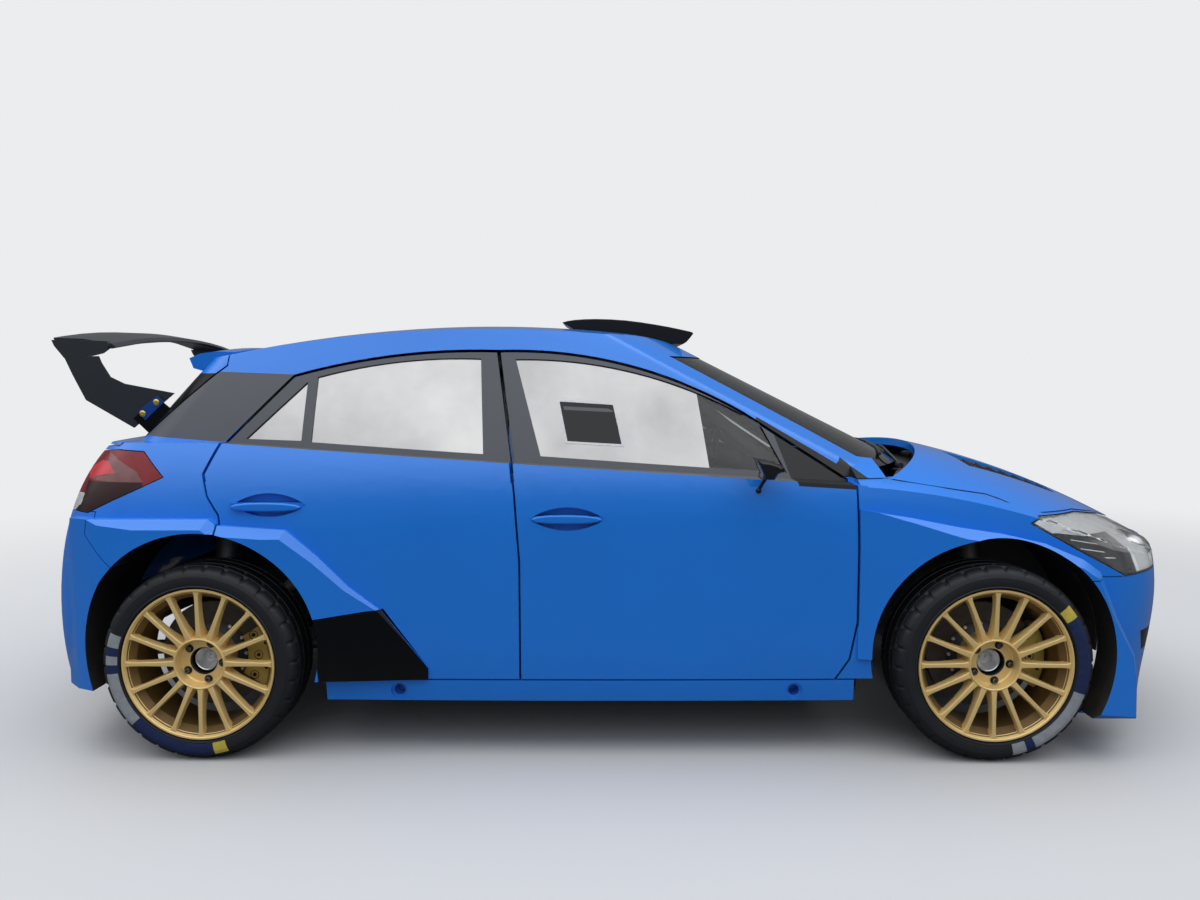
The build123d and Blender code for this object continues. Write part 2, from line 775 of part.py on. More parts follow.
# Front wheel houses, rails, strut towers, bulkhead and floor
tower_y = -611
tower_radius = 85
tower_top_z = 828
with BuildPart() as front_frame:
    with BuildSketch(Plane.XZ.offset(front_house_y)):
        with Locations((front_axle_x, front_arch_z)):
            Circle(arch_radius + liner_wall)
            Circle(arch_radius, mode=Mode.SUBTRACT)
        with Locations((front_axle_x, 0)):
            Rectangle(1000, 2 * 330, mode=Mode.SUBTRACT)
    extrude(amount=280)
    with BuildSketch(Plane.XZ.offset(front_house_y - liner_wall)):
        with Locations((front_axle_x, front_arch_z)):
            Circle(arch_radius + liner_wall)
            Circle(150, mode=Mode.SUBTRACT)
        with Locations((front_axle_x, 0)):
            Rectangle(1000, 2 * 330, mode=Mode.SUBTRACT)
    extrude(amount=liner_wall)
    block((800, -492, 345), (1880, -432, 430))
    block((800, -506, 430), (1500, -485, 520))
    with BuildSketch(Plane.XY.offset(700)):
        with Locations((front_axle_x, tower_y)):
            Circle(tower_radius)
    extrude(amount=tower_top_z - 700)
    cut(arches.part)
    with BuildSketch(Plane.XY.offset(700)):
        with Locations((front_axle_x, tower_y)):
            Circle(tower_radius - 17)
    extrude(amount=tower_top_z - 13 - 700, mode=Mode.SUBTRACT)
    mirror(about=Plane.XZ)
    block((1860, -480, 355), (1885, 480, 420))
    block((790, -780, 205), (800, 780, 905))
    keep(cabin)
save(front_frame, "front_frame")

boot_floor_z = 442
with BuildPart() as floor_pan:
    block((-970, -712, floor_z), (785, 712, floor_z + floor_wall))
    block((-970, -558, floor_z), (-970 + floor_wall, 558, boot_floor_z))
    block((-1900, -558, boot_floor_z - floor_wall), (-970 + floor_wall, 558, boot_floor_z))
    block((-970, -90, floor_z + floor_wall), (785, 90, floor_z + 110))
    keep(cabin)
save(floor_pan, "floor_pan")

with BuildPart() as cowl:
    with BuildSketch(Plane.XY.offset(905)):
        with BuildLine():
            ThreePointArc((905, -700), (1105, 0), (905, 700))
            Line((905, 700), (985, 700))
            ThreePointArc((985, 700), (1215, 0), (985, -700))
            Line((985, -700), (905, -700))
        make_face()
    extrude(amount=10)
    keep(cabin)
save(cowl, "cowl")

# Rear wing: an arched plane between thick tips, which the end plates carry
wing_line = [(-1784, 1398), (-1800, 1411), (-1900, 1428), (-2004, 1432), (-2003, 1422), (-1900, 1409),
             (-1800, 1392)]
wing_crown_radius = 3500
wing_tip_line = [(-2013, 1381), (-2004, 1360), (-1970, 1317), (-1884, 1324), (-1841, 1334), (-1803, 1361),
                 (-1817, 1377), (-1960, 1382)]
wing_tip_wall = 26
end_plate_line = [(-1970, 1320), (-1848, 1324), (-1839, 1300), (-1809, 1250), (-1760, 1226), (-1582, 1192),
                  (-1731, 1069), (-1899, 1168), (-1941, 1254), (-1967, 1313)]
with BuildPart() as rear_wing:
    add(across(wing_line, wing_half_span, wing_crown_radius))
    for inner_y, outer_y, line in ((wing_half_span - wing_tip_wall, wing_half_span, wing_tip_line),
                                   (wing_half_span - wing_plate_wall, wing_half_span, end_plate_line)):
        add(both_sides(side_region(line, -outer_y, -inner_y)))
save(rear_wing, "rear_wing")

with BuildPart() as roof_vent:
    with BuildSketch(Plane.XZ.offset(-150)):
        with BuildLine():
            Polyline((-205, 1446), (-60, 1478), (90, 1470), (240, 1432), (262, 1402), (200, 1432), (60, 1452),
                     close=True)
        make_face()
    extrude(amount=300)
    cut(outside)
save(roof_vent, "roof_vent")

# Running gear, drawn for the right-hand side. Distances across are from the wheel's
# middle plane towards the car.
disc_near, disc_far = 37, 63
disc_radius = 178
hub_face = 20


def ring_section(axle_x, profile):
    """A turned ring round the axle from a run of (across, radius)."""
    with BuildPart() as ring:
        with BuildSketch(Plane(origin=(axle_x, -half_track, wheel_centre_z), x_dir=(0, 1, 0), z_dir=(1, 0, 0))):
            with BuildLine():
                Polyline(*profile, close=True)
            make_face()
        revolve(axis=Axis((axle_x, 0, wheel_centre_z), (0, 1, 0)))
    return ring.part


tyre_profile = [(-84, 232), (-tyre_half_width, 270), (-92, 312), (-70, tyre_radius), (70, tyre_radius),
                (92, 312), (tyre_half_width, 270), (84, 232)]
rim_profile = [(-100, rim_radius), (-84, 231.5), (84, 231.5), (100, rim_radius), (90, 216), (-60, 214),
               (-96, 238)]
hub_profile = [(hub_face, 45), (-52, 45), (-52, 72), (-90, 78), (-90, 86), (-40, 92), (hub_face, 80)]
hub_nose_profile = [(-36, 0), (-36, 20), (-20, 31), (hub_face, 31), (hub_face, 0)]
disc_profile = [(disc_near, 60), (disc_near, disc_radius), (disc_far, disc_radius), (disc_far, 60)]
spoke_count = 16

with BuildPart() as one_spoke:
    with BuildSketch(Plane.YZ):
        with BuildLine():
            Polyline((-86, 82), (-92, 236.5), (-86, 232), (-66, 220), (-44, 84), close=True)
        make_face()
    extrude(amount=7, both=True)

for end, axle_x in (("front", front_axle_x), ("rear", rear_axle_x)):
    hub_centre = (axle_x, -half_track, wheel_centre_z)
    with BuildPart() as tyre:
        add(ring_section(axle_x, tyre_profile))
    save(tyre, f"tyre_{end}_right")
    save_left(tyre, f"tyre_{end}_left")

    with BuildPart() as rim:
        add(ring_section(axle_x, rim_profile))
        add(ring_section(axle_x, hub_profile))
        for spoke in range(spoke_count):
            with Locations(Location(hub_centre, (0, 360 / spoke_count * spoke, 0))):
                add(one_spoke.part)
    save(rim, f"rim_{end}_right")
    save_left(rim, f"rim_{end}_left")

    with BuildPart() as disc:
        add(ring_section(axle_x, disc_profile))
        add(ring_section(axle_x, [(hub_face, 0), (hub_face, 75), (disc_near + 8, 75), (disc_near + 8, 0)]))
        add(ring_section(axle_x, hub_nose_profile))
    save(disc, f"brake_disc_{end}_right")
    save_left(disc, f"brake_disc_{end}_left")

# Uprights, which carry the hubs, with the struts above them
upright_near, upright_far = 69, 118
strut_top = (-600, 806)
rear_strut_top = (-614, 728)
ball_joint = (-738, 206)
arm_tip_y = 724
arm_tip_half_width = 14


def upright(axle_x, strut_foot_z, top):
    """The right-hand upright with its strut."""
    with BuildPart() as piece:
        with BuildSketch(Plane.XZ.offset(half_track - upright_far)):
            with Locations((axle_x, wheel_centre_z)):
                Circle(62)
            with BuildLine():
                Polyline((axle_x - 34, ball_joint[1]), (axle_x + 34, ball_joint[1]), (axle_x + 44, 430),
                         (axle_x - 44, 430), close=True)
            make_face()
        extrude(amount=upright_far - upright_near)
        lean = (Vector(0, *top) - Vector(0, *ball_joint)).normalized()
        foot = Vector(axle_x, *ball_joint) + lean * (strut_foot_z - ball_joint[1])
        length = (Vector(axle_x, *top) - foot).length
        with BuildSketch(Plane(origin=foot, x_dir=(1, 0, 0), z_dir=lean)):
            Circle(26)
        extrude(amount=length - 12)
        with BuildSketch(Plane(origin=foot + lean * 250, x_dir=(1, 0, 0), z_dir=lean)):
            Circle(44)
        extrude(amount=length - 290)
    return piece.part


def caliper(axle_x):
    """The right-hand caliper, in front of the axle, around the disc's edge."""
    with BuildPart() as piece:
        with BuildSketch(Plane.XZ.offset(half_track - 77)):
            with BuildLine():
                CenterArc((axle_x, wheel_centre_z), 206, -32, 64)
                CenterArc((axle_x, wheel_centre_z), 118, -32, 64)
                for angle in (-32, 32):
                    Line((axle_x + 118 * cos(radians(angle)), wheel_centre_z + 118 * sin(radians(angle))),
                         (axle_x + 206 * cos(radians(angle)), wheel_centre_z + 206 * sin(radians(angle))))
            make_face()
        extrude(amount=64)
        with BuildSketch(Plane.XZ.offset(half_track - disc_far - running_gap)):
            with Locations((axle_x, wheel_centre_z)):
                Circle(disc_radius + running_gap)
        extrude(amount=disc_far - disc_near + 2 * running_gap, mode=Mode.SUBTRACT)
    return piece.part


with BuildPart() as front_upright:
    add(upright(front_axle_x, 380, strut_top))
    block((front_axle_x - 120, -700, 270), (front_axle_x - 40, -687, 300))
save(front_upright, "upright_front_right")
save_left(front_upright, "upright_front_left")
with BuildPart() as front_caliper:
    add(caliper(front_axle_x))
save(front_caliper, "caliper_front_right")
save_left(front_caliper, "caliper_front_left")
with BuildPart() as rear_uprights:
    add(both_sides(upright(rear_axle_x, 380, rear_strut_top)))
save(rear_uprights, "rear_uprights")
with BuildPart() as rear_calipers:
    add(both_sides(caliper(rear_axle_x)))
save(rear_calipers, "rear_calipers")

# Lower arms, crossmembers and steering rack
with BuildPart() as front_suspension:
    with BuildSketch(Plane.XY.offset(180)):
        with BuildLine():
            Polyline((front_axle_x - arm_tip_half_width, -arm_tip_y),
                     (front_axle_x + arm_tip_half_width, -arm_tip_y), (front_axle_x + 110, -440),
                     (front_axle_x + 60, -440), (front_axle_x, -640), (front_axle_x - 60, -440),
                     (front_axle_x - 110, -440), close=True)
        make_face()
    extrude(amount=20)
    mirror(about=Plane.XZ)
    block((front_axle_x - 130, -440, 190), (front_axle_x + 130, 440, 245))
save(front_suspension, "front_suspension")

with BuildPart() as rear_suspension:
    with BuildSketch(Plane.XY.offset(180)):
        with BuildLine():
            Polyline((rear_axle_x - arm_tip_half_width, -arm_tip_y),
                     (rear_axle_x + arm_tip_half_width, -arm_tip_y), (rear_axle_x + 110, -440),
                     (rear_axle_x + 60, -440), (rear_axle_x, -640), (rear_axle_x - 60, -440),
                     (rear_axle_x - 110, -440), close=True)
        make_face()
    extrude(amount=20)
    mirror(about=Plane.XZ)
    block((rear_axle_x - 130, -440, 190), (rear_axle_x + 130, 440, 250))
    block((rear_axle_x - 90, -130, 250), (rear_axle_x + 90, 130, 395))
save(rear_suspension, "rear_suspension")

with BuildPart() as driveshafts:
    for axle_x, inner_y in ((front_axle_x, 350), (rear_axle_x, 135)):
        with BuildSketch(Plane.XZ.offset(inner_y)):
            with Locations((axle_x, wheel_centre_z)):
                Circle(17)
        extrude(amount=660 - inner_y)
    mirror(about=Plane.XZ)
save(driveshafts, "driveshafts")

with BuildPart() as engine:
    block((front_axle_x - 60, -345, 260), (front_axle_x + 420, 345, 760))
save(engine, "engine")

# Inside: dashboard, wheel, seats and cage
with BuildPart() as dashboard:
    with BuildSketch(Plane.XZ.offset(-560)):
        with BuildLine():
            Polyline((540, 660), (520, 800), (620, 870), (780, 890), (785, 660), close=True)
        make_face()
    extrude(amount=1120)
    keep(cabin)
save(dashboard, "dashboard")

steering_plane = Plane(origin=(395, 370, 850), x_dir=(0, 1, 0), z_dir=(-0.94, 0, 0.34))
with BuildPart() as steering_wheel:
    with BuildSketch(Plane(origin=(395, 370, 850), x_dir=(-0.34, 0, -0.94), z_dir=(0, 1, 0))):
        with Locations((170, 0)):
            RegularPolygon(14, 6)
    revolve(axis=Axis((395, 370, 850), (-0.94, 0, 0.34)))
    with BuildSketch(steering_plane.offset(-6)):
        Circle(45)
        Rectangle(340, 34)
    extrude(amount=8)
    with BuildSketch(steering_plane.offset(-112)):
        Circle(20)
    extrude(amount=108)
save(steering_wheel, "steering_wheel")

seat_line = [(-120, 300), (250, 260), (270, 330), (200, 420), (-60, 360), (-110, 440), (-260, 1040),
             (-330, 1040),
             (-230, 420), (-200, 300)]
with BuildPart() as seats:
    for side in (-1, 1):
        with BuildSketch(Plane.XZ.offset(side * 370 - 240)):
            with BuildLine():
                Polyline(*seat_line, close=True)
            make_face()
        extrude(amount=480)
save(seats, "bucket_seats")

cage_tube = 22


def tube(*points, bend=70):
    """A round tube along straight runs with bends between them."""
    with BuildPart() as piece:
        with BuildLine() as path:
            FilletPolyline(*points, radius=bend) if len(points) > 2 else Line(*points)
        with BuildSketch(Plane(origin=path.line @ 0, z_dir=path.line % 0)):
            Circle(cage_tube)
        sweep(path=path.line)
    return piece.part


# The cage: a hoop behind the seats, legs along the windscreen's pillars, a header and
# stays to the boot floor, each on a foot plate
hoop_path = [(-400, -660, 225), (-400, -640, 940), (-400, -440, 1340), (-400, 440, 1340), (-400, 640, 940),
             (-400, 660, 225)]
leg_path = [(640, -655, 225), (640, -600, 860), (120, -470, 1284), (-400, -440, 1340)]
stay_path = [(-400, -440, 1335), (-1250, -505, 438)]
foot_plates = [(-400, -655, floor_z + floor_wall), (640, -650, floor_z + floor_wall),
               (-1250, -505, boot_floor_z)]
foot_plate_wall = 8
with BuildPart() as cage:
    add(tube(*leg_path))
    add(tube(*stay_path))
    block((-1400, -600, 400), (-1100, -400, boot_floor_z), Mode.SUBTRACT)
    for x, y, z in foot_plates:
        block((x - 50, y - 50, z), (x + 50, y + 50, z + foot_plate_wall))
    mirror(about=Plane.XZ)
    add(tube(*hoop_path))
    add(tube((120, -470, 1284), (120, 470, 1284)))
save(cage, "roll_cage")

with BuildPart() as exhaust:
    with BuildLine() as route:
        FilletPolyline((1020, -60, 150), (-1500, -60, 150), (-1950, -300, 188), radius=90)
    with BuildSketch(Plane(origin=route.line @ 0, z_dir=route.line % 0)):
        Circle(28)
    sweep(path=route.line)
save(exhaust, "exhaust")
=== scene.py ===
import json
from math import atan2, cos, degrees, hypot, pi, radians, sin

import bmesh
import bpy
from mathutils import Matrix, Vector


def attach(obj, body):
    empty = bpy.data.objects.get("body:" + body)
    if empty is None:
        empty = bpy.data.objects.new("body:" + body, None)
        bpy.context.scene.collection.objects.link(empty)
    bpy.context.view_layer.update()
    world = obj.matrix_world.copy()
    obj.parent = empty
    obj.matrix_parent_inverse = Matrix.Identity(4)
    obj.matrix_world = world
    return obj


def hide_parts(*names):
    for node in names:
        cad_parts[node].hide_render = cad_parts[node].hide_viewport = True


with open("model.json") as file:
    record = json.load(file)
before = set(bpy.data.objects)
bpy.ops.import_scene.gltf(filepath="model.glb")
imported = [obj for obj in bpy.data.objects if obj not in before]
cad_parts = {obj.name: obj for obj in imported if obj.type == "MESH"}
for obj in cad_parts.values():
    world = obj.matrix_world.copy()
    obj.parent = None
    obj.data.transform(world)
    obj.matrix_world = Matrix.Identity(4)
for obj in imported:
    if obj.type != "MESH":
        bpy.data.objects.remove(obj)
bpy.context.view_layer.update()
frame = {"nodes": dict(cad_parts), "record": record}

# Studio: the camera stands where the photograph was taken, on the car's right-hand side,
# over a plain pale floor, with soft lamps above and in front and a pale surround.
camera_data = bpy.data.cameras.new("photo_camera")
camera_data.sensor_fit = "HORIZONTAL"
camera_data.sensor_width = 36
camera_data.lens = 26.934
camera = bpy.data.objects.new("photo_camera", camera_data)
camera.location = (-0.0325, -3.727, 1.2377)
camera.rotation_euler = (radians(90) - 0.0783, 0, 0.011)
camera.rotation_euler.rotate_axis("Z", -0.0017)
bpy.context.scene.collection.objects.link(camera)
bpy.context.scene.camera = camera
bpy.context.scene.view_settings.view_transform = "Standard"


def node(tree, kind, values=(), **settings):
    """Adds a node to a node tree, with its settings and the values of its inputs."""
    made = tree.nodes.new(kind)
    for name, value in settings.items():
        setattr(made, name, value)
    for socket, value in dict(values).items():
        made.inputs[socket].default_value = value
    return made


def wire(tree, *links):
    """Links pairs of an output and an input in a node tree."""
    for start, end in links:
        tree.links.new(start, end)


surround_white = (0.93, 0.94, 0.95, 1)
surround_strength = 0.9
world = bpy.context.scene.world or bpy.data.worlds.new("studio")
bpy.context.scene.world = world
world.use_nodes = True
sky = world.node_tree
sky.nodes.clear()
sky_out = node(sky, "ShaderNodeOutputWorld")
sky_light = node(sky, "ShaderNodeBackground", {"Color": (0.86, 0.91, 1.0, 1)})
sky_mirrored = node(sky, "ShaderNodeBackground", {"Color": (0.97, 0.98, 1.0, 1)})
sky_view = node(sky, "ShaderNodeBackground", {"Color": surround_white, "Strength": surround_strength})
sky_path = node(sky, "ShaderNodeLightPath")
sky_place = node(sky, "ShaderNodeTexCoord")
sky_axes = node(sky, "ShaderNodeSeparateXYZ")
sky_beyond = node(sky, "ShaderNodeMath", {1: 0.0}, operation="MAXIMUM")
sky_height = node(sky, "ShaderNodeMath", {1: -0.7}, operation="MULTIPLY_ADD")
sky_rise = node(sky, "ShaderNodeMapRange", {"From Min": 0.02, "From Max": 0.70, "To Min": 0.20, "To Max": 1.8},
                interpolation_type="SMOOTHSTEP")
sky_power = node(sky, "ShaderNodeMath", {1: 0.50}, operation="MULTIPLY")
sky_seen = node(sky, "ShaderNodeMath", operation="MAXIMUM")
sky_inner_mix = node(sky, "ShaderNodeMixShader")
sky_mix = node(sky, "ShaderNodeMixShader")
wire(sky,
     (sky_place.outputs["Generated"], sky_axes.inputs[0]),
     (sky_axes.outputs["Y"], sky_beyond.inputs[0]),
     (sky_beyond.outputs[0], sky_height.inputs[0]),
     (sky_axes.outputs["Z"], sky_height.inputs[2]),
     (sky_height.outputs[0], sky_rise.inputs["Value"]),
     (sky_rise.outputs["Result"], sky_power.inputs[0]),
     (sky_power.outputs[0], sky_light.inputs["Strength"]),
     (sky_rise.outputs["Result"], sky_mirrored.inputs["Strength"]),
     (sky_path.outputs["Is Camera Ray"], sky_seen.inputs[0]),
     (sky_path.outputs["Is Transmission Ray"], sky_seen.inputs[1]),
     (sky_path.outputs["Is Glossy Ray"], sky_inner_mix.inputs["Fac"]),
     (sky_light.outputs[0], sky_inner_mix.inputs[1]),
     (sky_mirrored.outputs[0], sky_inner_mix.inputs[2]),
     (sky_seen.outputs[0], sky_mix.inputs["Fac"]),
     (sky_inner_mix.outputs[0], sky_mix.inputs[1]),
     (sky_view.outputs[0], sky_mix.inputs[2]),
     (sky_mix.outputs[0], sky_out.inputs["Surface"]))


def soft_lamp(name, place, aim, size, power):
    """A large soft lamp that points at a place on the car."""
    data = bpy.data.lights.new(name, "AREA")
    data.shape = "RECTANGLE"
    data.size, data.size_y = size
    data.energy = power
    lamp = bpy.data.objects.new(name, data)
    lamp.location = place
    lamp.rotation_euler = (Vector(aim) - Vector(place)).to_track_quat("-Z", "Y").to_euler()
    lamp.visible_glossy = False
    bpy.context.scene.collection.objects.link(lamp)


soft_lamp("overhead_lamp", (0, -0.5, 6.0), (0, 0, 0), (12, 9), 430)
soft_lamp("front_lamp", (1.5, -8.0, 4.2), (0.2, 0, 0.6), (12, 6), 50)
soft_lamp("rear_lamp", (-6.5, 4.5, 4.0), (-0.5, 0, 0.7), (7, 5), 120)

bpy.ops.object.select_all(action="DESELECT")
bpy.ops.mesh.primitive_plane_add(size=60, location=(0, 0, -0.001))
floor = bpy.context.object
floor.name = "studio_floor"
floor_finish = bpy.data.materials.new("studio_floor")
floor_finish.use_nodes = True
floor_tree = floor_finish.node_tree
floor_shader = floor_tree.nodes["Principled BSDF"]
floor_shader.inputs["Roughness"].default_value = 0.9
floor_bounce = node(floor_tree, "ShaderNodeMix", data_type="RGBA")
floor_bounce.inputs[6].default_value = (0.26, 0.26, 0.26, 1)
floor_bounce.inputs[7].default_value = (0.08, 0.08, 0.08, 1)
floor_tone = node(floor_tree, "ShaderNodeMix", data_type="RGBA")
floor_tone.inputs[7].default_value = (0.56, 0.56, 0.56, 1)
far_glow = node(floor_tree, "ShaderNodeEmission", {"Color": surround_white, "Strength": surround_strength})
floor_place = node(floor_tree, "ShaderNodeTexCoord")
floor_reach = node(floor_tree, "ShaderNodeVectorMath", operation="LENGTH")
floor_fade = node(floor_tree, "ShaderNodeMapRange", {"From Min": 2.6, "From Max": 7.5}, interpolation_type="SMOOTHSTEP")
floor_path = node(floor_tree, "ShaderNodeLightPath")
floor_seen = node(floor_tree, "ShaderNodeMath", operation="MAXIMUM")
floor_share = node(floor_tree, "ShaderNodeMath", operation="MULTIPLY")
floor_mix = node(floor_tree, "ShaderNodeMixShader")
wire(floor_tree,
     (floor_path.outputs["Is Glossy Ray"], floor_bounce.inputs["Factor"]),
     (floor_bounce.outputs[2], floor_tone.inputs[6]),
     (floor_path.outputs["Is Camera Ray"], floor_tone.inputs["Factor"]),
     (floor_tone.outputs[2], floor_shader.inputs["Base Color"]),
     (floor_place.outputs["Object"], floor_reach.inputs[0]),
     (floor_reach.outputs["Value"], floor_fade.inputs["Value"]),
     (floor_path.outputs["Is Camera Ray"], floor_seen.inputs[0]),
     (floor_path.outputs["Is Transmission Ray"], floor_seen.inputs[1]),
     (floor_seen.outputs[0], floor_share.inputs[0]),
     (floor_fade.outputs["Result"], floor_share.inputs[1]),
     (floor_share.outputs[0], floor_mix.inputs["Fac"]),
     (floor_shader.outputs[0], floor_mix.inputs[1]),
     (far_glow.outputs[0], floor_mix.inputs[2]),
     (floor_mix.outputs[0], floor_tree.nodes["Material Output"].inputs["Surface"]))
floor.data.materials.append(floor_finish)

# Painted panels: composite and steel pressings in a deep gloss blue, hung on the shell
# with narrow shut lines between them. The window frames and the panels round the
# glasshouse are covered in satin black film, and so are the guards behind the rear doors.
bodies = frame["record"]["behaviour"]["bodies"]
node_body = {name: body for body, names in bodies.items() for name in names}


def road_film_group():
    """Mask that is 1 where road dust settles: low on the car and in a fine mottle."""
    group = bpy.data.node_groups.new("road_film", "ShaderNodeTree")
    for name, default in (("Low", 0.15), ("High", 0.6), ("Amount", 0.3), ("Scale", 14.0)):
        socket = group.interface.new_socket(name, in_out="INPUT", socket_type="NodeSocketFloat")
        socket.default_value = default
    group.interface.new_socket("Mask", in_out="OUTPUT", socket_type="NodeSocketFloat")
    nodes, links = group.nodes, group.links
    entry, leave = nodes.new("NodeGroupInput"), nodes.new("NodeGroupOutput")
    place = nodes.new("ShaderNodeTexCoord")
    axes = nodes.new("ShaderNodeSeparateXYZ")
    height = nodes.new("ShaderNodeMapRange")
    mottle = nodes.new("ShaderNodeTexNoise")
    mottle.inputs["Detail"].default_value = 6
    mottle.inputs["Roughness"].default_value = 0.65
    share = nodes.new("ShaderNodeMath")
    share.operation = "MULTIPLY"
    whole = nodes.new("ShaderNodeMath")
    whole.operation = "MULTIPLY"
    links.new(place.outputs["Object"], axes.inputs[0])
    links.new(axes.outputs["Z"], height.inputs["Value"])
    links.new(entry.outputs["High"], height.inputs["From Min"])
    links.new(entry.outputs["Low"], height.inputs["From Max"])
    links.new(place.outputs["Object"], mottle.inputs["Vector"])
    links.new(entry.outputs["Scale"], mottle.inputs["Scale"])
    links.new(height.outputs["Result"], share.inputs[0])
    links.new(mottle.outputs["Fac"], share.inputs[1])
    links.new(share.outputs[0], whole.inputs[0])
    links.new(entry.outputs["Amount"], whole.inputs[1])
    links.new(whole.outputs[0], leave.inputs["Mask"])
    return group


road_film = road_film_group()


def new_finish(name, colour, roughness, metallic=0.0, coat=0.0, gloss=0.5, film=0.0, film_top=0.55,
               grain=0.0, grain_size=400.0, cloud_size=3.0, cloud_depth=0.06,
               film_colour=(0.33, 0.29, 0.24, 1)):
    """A procedural finish: a ground colour with a slight cloud, road film and a fine grain."""
    finish = bpy.data.materials.new(name)
    finish.use_nodes = True
    nodes, links = finish.node_tree.nodes, finish.node_tree.links
    shader = nodes["Principled BSDF"]
    shader.inputs["Metallic"].default_value = metallic
    shader.inputs["Coat Weight"].default_value = coat
    shader.inputs["Specular IOR Level"].default_value = gloss
    shader.inputs["Coat Roughness"].default_value = 0.03
    place = nodes.new("ShaderNodeTexCoord")
    cloud = nodes.new("ShaderNodeTexNoise")
    cloud.inputs["Scale"].default_value = cloud_size
    cloud.inputs["Detail"].default_value = 5
    links.new(place.outputs["Object"], cloud.inputs["Vector"])
    ground = nodes.new("ShaderNodeMix")
    ground.data_type = "RGBA"
    ground.inputs[6].default_value = (*[c * (1 - cloud_depth) for c in colour], 1)
    ground.inputs[7].default_value = (*[min(1, c * (1 + cloud_depth)) for c in colour], 1)
    links.new(cloud.outputs["Fac"], ground.inputs["Factor"])
    film_node = nodes.new("ShaderNodeGroup")
    film_node.node_tree = road_film
    film_node.inputs["Low"].default_value = 0.12
    film_node.inputs["High"].default_value = film_top
    film_node.inputs["Amount"].default_value = film
    dusted = nodes.new("ShaderNodeMix")
    dusted.data_type = "RGBA"
    dusted.inputs[7].default_value = film_colour
    links.new(film_node.outputs["Mask"], dusted.inputs["Factor"])
    links.new(ground.outputs[2], dusted.inputs[6])
    links.new(dusted.outputs[2], shader.inputs["Base Color"])
    rough = nodes.new("ShaderNodeMapRange")
    rough.inputs["To Min"].default_value = roughness
    rough.inputs["To Max"].default_value = min(1.0, roughness + 0.5)
    links.new(film_node.outputs["Mask"], rough.inputs["Value"])
    links.new(rough.outputs["Result"], shader.inputs["Roughness"])
    if grain:
        fine = nodes.new("ShaderNodeTexNoise")
        fine.inputs["Scale"].default_value = grain_size
        fine.inputs["Detail"].default_value = 3
        links.new(place.outputs["Object"], fine.inputs["Vector"])
        bump = nodes.new("ShaderNodeBump")
        bump.inputs["Strength"].default_value = grain
        bump.inputs["Distance"].default_value = 0.0006
        links.new(fine.outputs["Fac"], bump.inputs["Height"])
        links.new(bump.outputs["Normal"], shader.inputs["Normal"])
    return finish


blue_paint = new_finish("blue_paint", (0.010, 0.196, 0.74), 0.3, coat=0.8, gloss=0.12, film=0.04)
black_film = new_finish("black_film", (0.085, 0.091, 0.102), 0.4, gloss=0.3, grain=0.15, film=0.05)
guard_black = new_finish("guard_black", (0.004, 0.0045, 0.006), 0.25, gloss=0.12, film=0.03, film_top=0.4)
trim_black = new_finish("trim_black", (0.012, 0.012, 0.013), 0.4, gloss=0.3)
# Near-black underseal for the wheel arches; on the panels' own faces that look at a wheel it is also painted shade.
underseal_and_arch_shade = new_finish("underseal_and_arch_shade", (0.012, 0.012, 0.012), 0.75, gloss=0.2, grain=0.5, film=0.25)


def work_on(piece):
    """Opens one piece alone in edit mode, by faces."""
    bpy.ops.object.select_all(action="DESELECT")
    bpy.context.view_layer.objects.active = piece
    piece.select_set(True)
    bpy.ops.object.mode_set(mode="EDIT")
    bpy.ops.mesh.select_mode(type="FACE")


def pick(test):
    """Selects the faces of the open piece that pass a test."""
    mesh = bpy.context.object.data
    opened = bmesh.from_edit_mesh(mesh)
    for face in opened.faces:
        face.select_set(False)
    chosen = [face for face in opened.faces if test(face)]
    for face in chosen:
        face.select_set(True)
    bmesh.update_edit_mesh(mesh)
    return len(chosen)


def inside(outline, x, z):
    """Whether (x, z) lies inside an outline in the side view."""
    odd = False
    for (x1, z1), (x2, z2) in zip(outline, outline[1:] + outline[:1]):
        if (z1 > z) != (z2 > z) and x < x1 + (z - z1) * (x2 - x1) / (z2 - z1):
            odd = not odd
    return odd


def paint_picked(piece, finish):
    """Gives the picked faces of the open piece another finish."""
    if finish.name not in piece.data.materials:
        piece.data.materials.append(finish)
    piece.active_material_index = piece.data.materials.find(finish.name)
    bpy.ops.object.material_slot_assign()


def faces_a_wheel(face):
    """Whether a face lies in a wheel arch and looks at the wheel."""
    middle = face.calc_center_median()
    for axle_x in (1.205, -1.365):
        towards = Vector((axle_x - middle.x, 0, 0.32 - middle.z))
        inwards = face.normal.y * middle.y < 0 and abs(face.normal.y) > 0.5
        looks = face.normal.dot(towards.normalized()) > 0.3 and abs(face.normal.y) < 0.8
        if towards.length < 0.50 and abs(middle.y) > 0.45 and (looks or inwards):
            return True
        if towards.length < 0.50 and 0.30 < abs(middle.y) < 0.66 and middle.z < 0.72:
            return True
    return False


